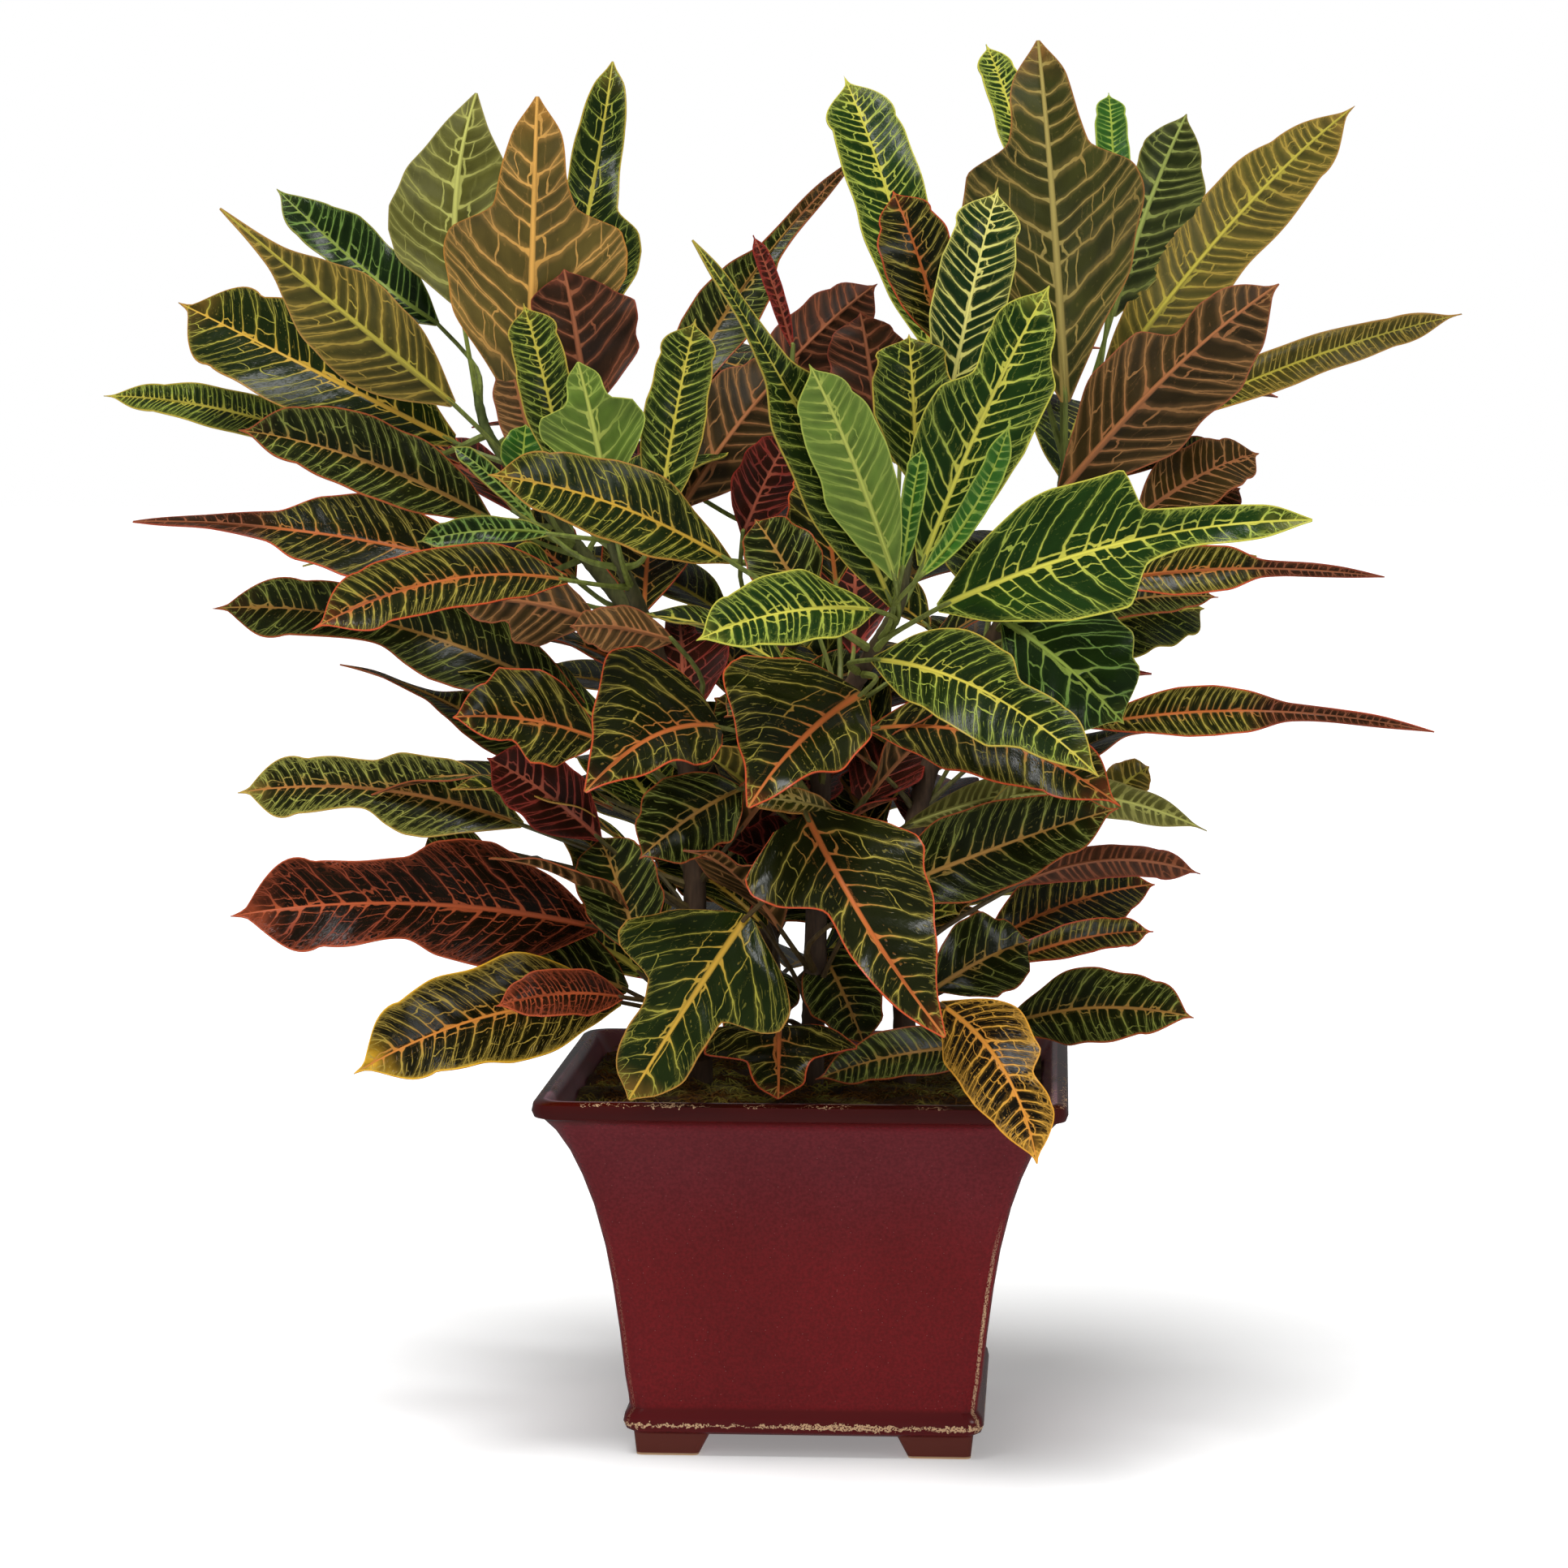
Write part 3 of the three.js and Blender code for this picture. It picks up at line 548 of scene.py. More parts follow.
@dataclass(frozen=True)
class Fan:
    """Leaves that spread backwards from one point of a stem, between two bearings in degrees.

    rise is their slope in degrees. forward is how far their upper sides turn from the sky to the viewer.
    """

    at: Triple
    count: int
    bearings: tuple[float, float]
    rise: float
    length: float
    wide: float
    forward: float = 0.2

    def leaves(self, number: int) -> list[Leaf]:
        """The leaves of the fan, every other one steeper.

        Args:
            number: the fan's own number, which its small irregularities come from.

        Returns:
            The leaves, each as one of the front view.
        """
        made, shapes = [], list(Shape)
        first, last = self.bearings
        across, down, depth = self.at
        for i in range(self.count):
            jitter = 2 * chance(number, i) - 1
            bearing = math.radians(first + (last - first) * i / (self.count - 1) + FAN_UNEVEN * jitter)
            lift = math.radians(self.rise + FAN_STEEPER * (i % 2) + FAN_UNEVEN * jitter)
            aside = math.sin(bearing) * math.cos(lift)
            forth = -math.cos(bearing) * math.cos(lift)
            ends = [
                (across + aside * far / STEP, down - math.sin(lift) * far / STEP, depth + forth * far)
                for far in (FAN_START, FAN_START + self.length * (1 + 0.1 * jitter))
            ]
            shape = shapes[(number * 3 + i * 2) % len(shapes)]
            look = FAN_LOOKS[(number + i) % len(FAN_LOOKS)]
            face = (0.2 * aside, 1, self.forward)
            made.append(Leaf(*ends, self.wide, shape, look, arch=(0, 0.1, 0), face=face))
        return made


@dataclass(frozen=True)
class Branch:
    """A trunk or branch: points in the front view and the radius at each end in millimetres."""

    path: tuple[Triple, ...]
    radius: tuple[float, float]


@dataclass(frozen=True)
class Plan:
    """One plant: where its trunk stands on the soil (x, y), its branches, leaves and fans of leaves."""

    name: str
    foot: tuple[float, float]
    branches: tuple[Branch, ...]
    leaves: tuple[Leaf, ...]
    fans: tuple[Fan, ...]


LEFT = Plan(
    "left",
    foot=(-55, -6),
    branches=(
        Branch(((858, 1240, 8), (855, 1065, 10), (845, 930, 8), (805, 800, 0)), (6, 5)),
        Branch(((805, 800, 0), (765, 740, -8), (700, 660, -24), (640, 590, -38), (602, 535, -44),
                (590, 498, -46)), (4.6, 2.4)),
        Branch(((805, 800, 0), (782, 735, 12), (752, 665, 24), (742, 600, 28)), (4.4, 2.2)),
    ),
    leaves=(
        Leaf((568, 380, -62), (587, 115, -112), 168, BROAD, OLIVE, (-0.05, 0, 0.03), UNDER),
        Leaf((652, 530, -18), (662, 119, -20), 232, SPEAR, AMBER, (0, 0, 0.05), UNDER),
        Leaf((690, 430, -78), (755, 76, -130), 152, FIDDLE, GREEN, (0.01, 0, 0)),
        Leaf((540, 400, -88), (341, 233, -140), 92, NOTCH, GLOSSY, (0, -0.03, 0)),
        Leaf((560, 499, -26), (271, 257, -24), 124, DART, KHAKI, (0.02, -0.02, 0.03), UNDER),
        Leaf((560, 545, -46), (220, 373, -110), 134, STRAP, GILT, (0, 0, 0.03)),
        Leaf((430, 556, -64), (128, 488, -150), 58, OVAL, GREEN, (0, 0.04, 0)),
        Leaf((604, 640, -6), (294, 530, 36), 104, OVAL, DARK, fold=26),
        Leaf((600, 700, -30), (164, 643, -84), 122, TAIL, EMBER, (0, 0.03, 0.04), twist=30, tail=0.6),
        Leaf((680, 658, 50), (514, 668, 56), 38, STRAP, GLOSSY),
        Leaf((642, 600, 2), (648, 523, 0), 56, OVAL, YOUNG),
        Leaf((660, 645, 26), (556, 549, 14), 26, STRAP, GLOSSY),
        Leaf((700, 715, 42), (384, 776, 112), 86, STRAP, EMBER, (0, 0.08, 0.02)),
        Leaf((735, 765, 22), (560, 738, 18), 104, NOTCH, BROWN, seen=UNDER),
        Leaf((720, 870, -14), (262, 750, -92), 114, WAIST, DARK, (0, 0.07, 0.02)),
        Leaf((700, 960, -36), (419, 819, -112), 66, TAIL, DARK, twist=55),
        Leaf((740, 912, 48), (558, 884, 96), 124, NOTCH, EMBER),
        Leaf((740, 1035, 36), (600, 934, 44), 94, OVAL, CRIMSON),
        Leaf((645, 1017, 0), (293, 977, -58), 112, WAIST, GOLD, (0, 0.06, 0.02)),
        Leaf((600, 1045, -24), (520, 1048, -26), 52, OVAL, DARK),
        Leaf((738, 1144, 18), (284, 1129, 60), 168, WAIST, BLAZE, (0, 0.05, 0.02)),
        Leaf((765, 1235, 30), (436, 1323, 108), 136, OVAL, SUNTIP, (0, 0.07, 0.03)),
        Leaf((769, 1229, 62), (611, 1240, 112), 66, OVAL, BLAZE),
        Leaf((790, 1180, 46), (738, 1030, 28), 108, OVAL, DARK),
        Leaf((830, 790, 38), (702, 772, 52), 66, OVAL, BROWN, seen=UNDER),
        Leaf((725, 510, 4), (695, 332, -6), 160, NOTCH, RUST, seen=UNDER),
        Leaf((668, 610, -8), (622, 425, -22), 66, OVAL, BROWN, seen=UNDER),
        Leaf((700, 600, 28), (645, 374, 24), 68, STRAP, GREEN),
        Leaf((750, 620, 50), (712, 446, 56), 132, SPEAR, LIME, seen=UNDER),
        Leaf((810, 650, 42), (857, 393, 32), 78, STRAP, GREEN),
    ),
    fans=(
        Fan((840, 1000, 6), 2, (-75, -10), 8, 135, 110),
        Fan((790, 780, -4), 2, (-70, 0), 6, 140, 115),
        Fan((640, 590, -40), 2, (-50, 20), 16, 145, 120),
        # Inside the bush
        Fan((858, 1180, 8), 4, (-120, 110), 22, 92, 118),
        Fan((855, 1065, 10), 4, (-100, 130), 18, 96, 122),
        Fan((845, 940, 8), 3, (-70, 60), 20, 100, 118),
        Fan((700, 660, -24), 3, (-60, 50), 20, 96, 112),
        Fan((858, 1225, 8), 3, (-95, -15), 6, 78, 124, 1.4),
        Fan((765, 740, -8), 2, (-95, -45), 8, 66, 110, 1.2),
    ),
)
CENTRE = Plan(
    "centre",
    foot=(0, -6),
    branches=(
        Branch(((1003, 1230, 8), (1010, 1000, 22), (1019, 900, 30), (1060, 830, 45)), (6, 4.6)),
        Branch(((1060, 830, 45), (1105, 750, 62), (1118, 690, 68)), (4.6, 2.4)),
    ),
    leaves=(
        Leaf((1100, 747, 76), (853, 296, 150), 112, TAIL, GREEN, twist=30),
        Leaf((1103, 715, 92), (997, 449, 138), 100, OVAL, LIME, seen=UNDER),
        Leaf((1111, 705, 88), (1136, 551, 88), 30, STRAP, YOUNG),
        Leaf((1134, 710, 98), (1245, 518, 116), 34, STRAP, YOUNG, (0.05, -0.05, 0)),
        Leaf((1135, 700, 52), (1293, 352, 54), 136, NOTCH, LEMON),
        Leaf((1155, 750, 92), (1617, 641, 188), 176, VIOLIN, LEMON, (0, 0.05, 0.03)),
        Leaf((1078, 752, 104), (858, 789, 182), 100, OVAL, LEMON, (0, 0.05, 0.03)),
        Leaf((900, 692, 104), (601, 585, 172), 108, OVAL, GILT, (0, 0.05, 0.03)),
        Leaf((886, 896, 88), (721, 976, 164), 226, LOPSIDED, EMBER, (0, 0.1, 0.05)),
        Leaf((1062, 855, 100), (922, 995, 178), 250, LOPSIDED, EMBER, (-0.02, 0.04, 0.05)),
        Leaf((1075, 813, 96), (1354, 957, 184), 124, NOTCH, GREEN, (0, 0.08, 0.04)),
        Leaf((1073, 899, 60), (1381, 994, 122), 116, OVAL, EMBER, (0, 0.1, 0.02)),
        Leaf((1062, 1112, 72), (1378, 996, 88), 114, OVAL, DARK, (0, 0.02, 0.03)),
        Leaf((1110, 1021, 34), (1487, 1024, 26), 60, OVAL, OLIVE, (0, 0.12, 0), UNDER),
        Leaf((993, 1003, 122), (1164, 1278, 180), 214, SHOULDER, EMBER, (-0.03, 0, 0.05)),
        Leaf((922, 1128, 106), (775, 1355, 122), 236, FIDDLE, GILT, (0, 0.02, 0.05)),
        Leaf((960, 1262, 44), (959, 1354, 106), 190, SPEAR, EMBER),
        Leaf((915, 972, 60), (788, 1058, 92), 116, OVAL, DARK),
        Leaf((1030, 1000, 118), (920, 985, 116), 34, STRAP, TAWNY),
        Leaf((1030, 720, 4), (1008, 570, -4), 104, OVAL, EMBER),
        Leaf((1000, 760, 30), (930, 640, 20), 96, OVAL, DARK),
        Leaf((1000, 960, 10), (880, 860, 4), 120, OVAL, DARK),
        Leaf((1010, 1170, -2), (1066, 1290, 40), 100, OVAL, DARK),
    ),
    fans=(
        # Inside the bush
        Fan((1005, 1180, 10), 4, (-150, 150), 20, 84, 112),
        Fan((1010, 1020, 20), 4, (-130, 120), 18, 92, 118),
        Fan((1050, 850, 42), 3, (-80, 80), 20, 96, 116),
    ),
)
RIGHT = Plan(
    "right",
    foot=(46, 0),
    branches=(
        Branch(((1113, 1130, 0), (1135, 980, -10), (1180, 860, -16)), (6, 5)),
        Branch(((1180, 860, -16), (1250, 740, -18), (1300, 640, -20), (1312, 570, -22)), (4.8, 2.4)),
    ),
    leaves=(
        Leaf((1305, 610, 16), (1576, 350, 44), 146, NOTCH, BROWN, seen=UNDER),
        Leaf((1420, 525, -10), (1801, 387, -84), 52, OVAL, GILT, (0, 0.03, 0), twist=40, tail=0.25),
        Leaf((1352, 490, -50), (1669, 131, -130), 108, OVAL, KHAKI, seen=UNDER),
        Leaf((1313, 497, 4), (1279, 50, -34), 236, SPEAR, TAWNY, seen=UNDER),
        Leaf((1275, 250, -54), (1215, 55, -112), 48, STRAP, LEMON),
        Leaf((1375, 270, -80), (1366, 115, -132), 42, STRAP, YOUNG),
        Leaf((1370, 390, -64), (1462, 141, -120), 128, NOTCH, SAGE, seen=UNDER),
        Leaf((1262, 340, -44), (1235, 185, -56), 84, OVAL, GREEN),
        Leaf((1400, 640, -36), (1551, 559, -92), 88, OVAL, BROWN),
        Leaf((1330, 600, -50), (1506, 549, -96), 34, STRAP, DARK),
        Leaf((1440, 665, -44), (1528, 602, -80), 64, OVAL, RUST),
        Leaf((1340, 720, 26), (1706, 711, 66), 62, TAIL, EMBER, (0, 0.04, 0), twist=30, tail=0.57),
        Leaf((1300, 765, 4), (1501, 736, -44), 52, OVAL, DARK),
        Leaf((1290, 805, -20), (1484, 750, -92), 116, OVAL, GREEN),
        Leaf((1235, 765, 44), (1385, 892, 62), 176, OVAL, GLOSSY),
        Leaf((1335, 895, 20), (1767, 902, 92), 62, TAIL, EMBER, (0, 0.05, 0), twist=40, tail=0.5),
        Leaf((1360, 990, -18), (1416, 945, -24), 54, OVAL, KHAKI),
        Leaf((1240, 1262, 20), (1471, 1254, 84), 98, OVAL, DARK, (0, 0.06, 0.02)),
        Leaf((1214, 1164, -14), (1423, 1090, -84), 94, NOTCH, EMBER),
        Leaf((1237, 1187, 0), (1421, 1148, -34), 44, STRAP, EMBER),
        Leaf((1253, 1090, 14), (1479, 1077, -8), 44, STRAP, RUST, (0, 0.1, 0), UNDER),
        Leaf((1157, 1237, 96), (1278, 1434, 156), 116, NOTCH, SUN, (0.06, 0.08, 0.08)),
        Leaf((1150, 1220, 14), (1270, 1160, 0), 112, OVAL, DARK),
        Leaf((1235, 1290, 44), (1005, 1330, 80), 66, OVAL, DARK),
        Leaf((1140, 1070, -20), (1270, 1000, -40), 120, OVAL, DARK),
    ),
    fans=(
        Fan((1125, 1050, -6), 2, (5, 60), 8, 130, 110),
        Fan((1200, 830, -18), 2, (0, 55), 6, 130, 115),
        Fan((1300, 610, -22), 2, (5, 50), 12, 140, 120),
        # Inside the bush
        Fan((1120, 1080, -4), 4, (-110, 120), 20, 90, 120),
        Fan((1140, 960, -12), 4, (-120, 100), 18, 96, 122),
        Fan((1215, 800, -18), 3, (-60, 70), 20, 98, 116),
        Fan((1118, 1170, -2), 3, (-150, -60), 16, 84, 110, 1.2),
    ),
)
BACK = Plan(
    "back",
    foot=(-20, 52),
    branches=(
        Branch(((945, 1150, -60), (950, 950, -66), (965, 800, -70)), (6, 5)),
        Branch(((965, 800, -70), (945, 680, -72), (930, 590, -76), (925, 540, -78)), (4.6, 2.4)),
        Branch(((965, 800, -70), (1060, 690, -58), (1140, 590, -44), (1156, 500, -38)), (4.6, 2.4)),
    ),
    leaves=(
        Leaf((1150, 440, -34), (1040, 94, -92), 94, STRAP, LEMON),
        Leaf((1165, 430, -8), (1100, 235, 0), 96, OVAL, EMBER),
        Leaf((1165, 520, 12), (1230, 231, 14), 92, STRAP, CREAM),
        Leaf((1130, 600, 24), (1120, 412, 16), 100, STRAP, GREEN),
        Leaf((977, 431, -64), (928, 290, -76), 22, STRAP, CRIMSON),
        Leaf((930, 500, -98), (1081, 350, -108), 96, OVAL, RUST, seen=UNDER),
        Leaf((1081, 520, -78), (1060, 385, -86), 104, OVAL, RUST, seen=UNDER),
        Leaf((840, 625, -64), (985, 440, -78), 134, OVAL, BROWN, seen=UNDER),
        Leaf((915, 660, -18), (974, 536, -10), 80, OVAL, CRIMSON),
        Leaf((952, 1190, -36), (915, 1300, 30), 96, OVAL, DARK),
        Leaf((930, 1110, -44), (800, 1010, -36), 120, OVAL, DARK),
        Leaf((820, 520, -90), (1060, 190, -165), 84, TAIL, DARK, (-0.04, 0.02, 0), twist=20, tail=0.7),
    ),
    fans=(
        Fan((945, 1180, -58), 4, (-70, 70), -4, 135, 110),
        Fan((950, 1040, -62), 3, (-50, 40), 4, 145, 115),
        Fan((955, 900, -66), 3, (-60, 60), 8, 150, 120),
        Fan((965, 780, -70), 3, (-52, 52), 12, 150, 120),
        Fan((940, 640, -74), 3, (-55, 40), 18, 150, 115),
        Fan((1120, 610, -48), 3, (-40, 30), 20, 150, 115),
        # Inside the bush
        Fan((946, 1110, -62), 4, (-90, 90), 20, 92, 120),
        Fan((952, 930, -67), 4, (-80, 80), 20, 98, 122),
        Fan((948, 1200, -60), 3, (60, 130), 14, 92, 116, 1.2),
    ),
)
PLANS = (LEFT, CENTRE, RIGHT, BACK)


@dataclass(frozen=True)
class BladeSkin(Finish):
    """The living skin of a croton leaf, waxy and grown, with sunk veins above and raised ones below.

    The wax gives a soft sheen on dark green, and the net of veins gives the croton its colours. Widths and
    distances are in millimetres. glow is how far the veins' colour bleeds out, and how strongly. cell and
    block are the sizes of the small and large cells of the net, and swelling is how much thicker the veins
    of a leaf without flecks are. Side veins wander and fork by a share of the gap between them, which holds
    a few rows of dashes. The trim's colour runs between the shares tip, and between the distances side and
    hem from the margin.
    """

    rib_width: float
    vein_width: tuple[float, float]
    blur: float
    glow: tuple[float, float]
    roughness: float
    relief: float
    cell: float = 2.3
    block: float = 6.5
    swelling: float = 1.6
    wander: float = 0.5
    fork: float = 0.29
    dashes: float = 4.0
    tip: tuple[float, float] = (0.84, 0.98)
    side: tuple[float, float] = (0.4, 2.6)
    hem: tuple[float, float] = (0.3, 0.95)
    grain: float = 9.0
    depth: float = 0.6
    ior: float = 1.42
    specular: float = 0.3

    def drawing(self, put: partial) -> SimpleNamespace:
        """Draws the veins as masks.

        The pattern follows the map Veins: the count of side veins from the base, and the distance from the
        rib. Each leaf's seed shifts it.

        Args:
            put: add_node for the material's tree.

        Returns:
            What the colours are mixed by.
        """
        count, across, _ = put("SeparateXYZ", put("UVMap", uv_map="Veins")).outputs
        share, aside, seed, edge, gap, size, net, fleck, flush = (
            socket
            for name in ("place", "measure", "habit")
            for socket in put("SeparateXYZ", put("Attribute", attribute_name=name).outputs["Vector"]).outputs
        )
        shift = put("Math MULTIPLY", seed, 40)
        tenth = put("Math MULTIPLY", across, 0.1)
        field = put("CombineXYZ", count, tenth, shift)
        drift, ragged, patches = (put("TexNoise", field, Scale=scale) for scale in (0.9, 3.4, 1.1))
        bent = put("Math MULTIPLY_ADD", drift, self.wander, count)

        # Side veins open into forks, each from its own place on
        vein = put("Math ROUND", bent)
        half = put("Math SIGN", across)
        own = put("TexWhiteNoise", put("CombineXYZ", vein, half, shift))
        fork_from = put("MapRange", own, 0, 1, 0.25, 0.8)
        opened = put("MapRange", aside, fork_from, 1.2, 0, self.fork)
        off = put("Math SUBTRACT", put("Math PINGPONG", bent, 0.5), opened)
        apart = put("Math MULTIPLY", put("Math ABSOLUTE", off), gap)
        uneven = put("MapRange", ragged, 0.3, 0.7, 0.65, 1.35)
        thick = put("MapRange", aside, 0, 1, *self.vein_width)
        swollen = put("MapRange", fleck, 0, 0.3, self.swelling, 1)
        flare = put("MapRange SMOOTHSTEP", aside, 0, 0.13, 0.9, 0)
        wide = put("Math ADD", chained(put, "Math MULTIPLY", thick, uneven, swollen), flare)
        ratio = put("Math DIVIDE", apart, wide)

        # Rungs join neighbouring side veins, more of them in a leaf with a closer net
        span = put("Math FLOOR", bent)
        off_rib = put("Math ABSOLUTE", across)
        start = put("TexWhiteNoise", put("CombineXYZ", span, half, shift))
        climbed = put("Math MULTIPLY_ADD", off_rib, 1 / self.block, start)
        steps = put("Math MULTIPLY_ADD", drift, 1.3, climbed)
        rung = put("Math ROUND", steps)
        chosen = put("TexWhiteNoise", put("CombineXYZ", span, rung, shift))
        dense = put("MapRange", net, 0, 1, 0.02, 1)
        missing = put("Math GREATER_THAN", chosen, dense)
        rung_apart = put("Math MULTIPLY", put("Math PINGPONG", steps, 0.5), self.block)
        rung_ratio = put("Math DIVIDE", rung_apart, wide)
        rung_there = put("Math MULTIPLY_ADD", missing, 9, rung_ratio)
        merged = put("Math SMOOTH_MIN", ratio, put("Math MULTIPLY", rung_there, 1.35), 0.9)
        line = put("MapRange SMOOTHSTEP", merged, 0.7, 1.05 + self.blur, 1, 0)
        sides = put("Math MULTIPLY", line, put("MapRange", aside, 0.6, 1, 1, 0.7))

        # The midrib narrows towards the tip
        rib_here = put("MapRange", share, 0, 1, self.rib_width, self.rib_width * 0.3)
        rib_ratio = put("Math DIVIDE", off_rib, put("Math MULTIPLY", rib_here, size))
        midrib = put("MapRange SMOOTHSTEP", rib_ratio, 0.75, 1.1 + 0.4 * self.blur, 1, 0)

        # Broken dashes run between the side veins, more of them on a flecked leaf
        dash = put("Math PINGPONG", put("Math MULTIPLY", bent, self.dashes), 0.5)
        dash_apart = put("Math MULTIPLY", dash, gap)
        dash_line = put("MapRange SMOOTHSTEP", dash_apart, 0.3, 1.1 + self.blur, 0.9, 0)
        streak_field = put("VectorMath MULTIPLY", put("CombineXYZ", bent, tenth, shift), (4, 1.3, 1))
        streak_from = put("MapRange", fleck, 0, 0.4, 0.7, 0.5)
        streak_to = put("Math ADD", streak_from, 0.12)
        streak = put("MapRange", put("TexNoise", streak_field, Scale=1), streak_from, streak_to)
        outward = put("MapRange", aside, 0.1, 0.5)
        sparse = put("MapRange", net, 0.4, 0.8, 1, 0)
        dashes = chained(put, "Math MULTIPLY", outward, sparse, streak, dash_line)

        # Small cells lie along the margin
        skin = put("CombineXYZ", put("Math MULTIPLY", bent, gap), across, shift)
        cells = put("TexVoronoi DISTANCE_TO_EDGE", skin, Scale=1 / self.cell)
        cell_wide = put("MapRange", net, 0, 1, 0.1, 0.24)
        cell_line = put("MapRange SMOOTHSTEP", cells, 0.05, cell_wide, 1, 0)
        margin_wide = put("MapRange", net, 0, 1, 1.2, 11)
        by_margin = put("MapRange SMOOTHSTEP", edge, 0.6, margin_wide, 1, 0)
        patch = put("MapRange", patches, 0.36, 0.6, 0.1, 1)
        strong = put("MapRange", net, 0, 0.8, 0.35, 1)
        cell_net = chained(put, "Math MULTIPLY", cell_line, strong, by_margin, patch)

        specks = put("TexNoise", field, Scale=4.5, Detail=1)
        speckled = put("Math MULTIPLY", put("MapRange", specks, 0.68, 0.73), fleck)
        return SimpleNamespace(
            field=field, share=share, aside=aside, edge=edge, flush=flush, midrib=midrib, rib_ratio=rib_ratio,
            drawn=chained(put, "Math MAXIMUM", sides, midrib, dashes, cell_net, speckled),
            glow=put("MapRange SMOOTHERSTEP", apart, 0, *self.glow, 0),
        )

    def surface(self, put: partial) -> dict[str, object]:
        """Colours the drawing of the veins with the leaf's own colours.

        Args:
            put: add_node for the material's tree.

        Returns:
            What the shader's inputs get.
        """
        veins = self.drawing(put)
        ground, rib, vein, trim = (
            put("Attribute", attribute_name=name) for name in ("ground", "rib", "vein", "trim")
        )
        mottle = put("TexNoise", veins.field, Scale=0.7, Detail=3)
        grown = put("Mix MULTIPLY", 1, ground, put("MapRange", mottle, 0.3, 0.7, 0.72, 1.25))
        glowing = put("Mix", veins.glow, grown, vein)

        # The tip and the leaf near its margin take the trim's colour in patches
        tipward = put("MapRange SMOOTHSTEP", veins.share, *self.tip)
        sideward = put("MapRange SMOOTHSTEP", veins.edge, *self.side, 0.4, 0)
        reach = put("Math MULTIPLY", put("Math MAXIMUM", tipward, sideward), veins.flush)
        patchy = put("MapRange", mottle, 0.35, 0.62, 0.25, 1.2)
        flushed = put("Mix", put("Math MULTIPLY", reach, patchy, use_clamp=True), glowing, trim)

        # Veins turn from the rib's colour to their own, and the rib is darker at its sides
        turning = put("MapRange", veins.aside, 0, 0.42)
        ribbed = put("Mix MULTIPLY", 1, rib, put("MapRange", veins.rib_ratio, 0.2, 1, 1.12, 0.7))
        lines = put("Mix", turning, put("Mix", veins.midrib, rib, ribbed), vein)
        hem = put("MapRange SMOOTHSTEP", veins.edge, *self.hem, 1, 0)
        hemmed = put("Mix", hem, put("Mix", veins.drawn, flushed, lines), trim)

        # The skin dips at the veins and has a fine leathery grain
        fine = put("Math MULTIPLY", put("TexNoise", veins.field, Scale=self.grain), 0.25)
        dipped = put("Math MULTIPLY_ADD", veins.drawn, -self.relief, fine)
        return {
            "Base_Color": hemmed,
            "Roughness": put("MapRange", veins.drawn, 0, 1, self.roughness, self.roughness + 0.12),
            "Normal": put("Bump", Strength=0.5, Distance=self.depth * MM, Height=dipped),
            "IOR": self.ior,
            "Specular_IOR_Level": self.specular,
        }


@dataclass(frozen=True)
class StemSkin(Finish):
    """The skin of croton wood: corky and brown low down, green and waxy where it is young.

    It turns from old to young between two heights in metres.
    """

    old: str
    young: str
    old_below: float
    young_above: float
    roughness: float

    def surface(self, put: partial) -> dict[str, object]:
        """Mixes the old and young skin and cracks it.

        Args:
            put: add_node for the material's tree.

        Returns:
            What the shader's inputs get.
        """
        spot = put("TexCoord").outputs["Object"]
        up = put("SeparateXYZ", spot).outputs["Z"]
        raised = put("Math MULTIPLY_ADD", put("TexNoise", spot, Scale=28, Detail=3), 0.12, up)
        youth = put("MapRange SMOOTHSTEP", raised, self.old_below, self.young_above)
        # Cork cracks lengthwise about every 2 mm
        cracks = put("TexNoise", put("Mapping", spot, Scale=(500, 500, 90)), Scale=1, Detail=4)
        shade = put("MapRange", cracks, 0.3, 0.7, 0.55, 1.3)
        return {
            "Base_Color": put("Mix MULTIPLY", 0.8, put("Mix", youth, self.old, self.young), shade),
            "Roughness": self.roughness,
            "Normal": put("Bump", Strength=0.4, Distance=0.0004, Height=cracks),
        }


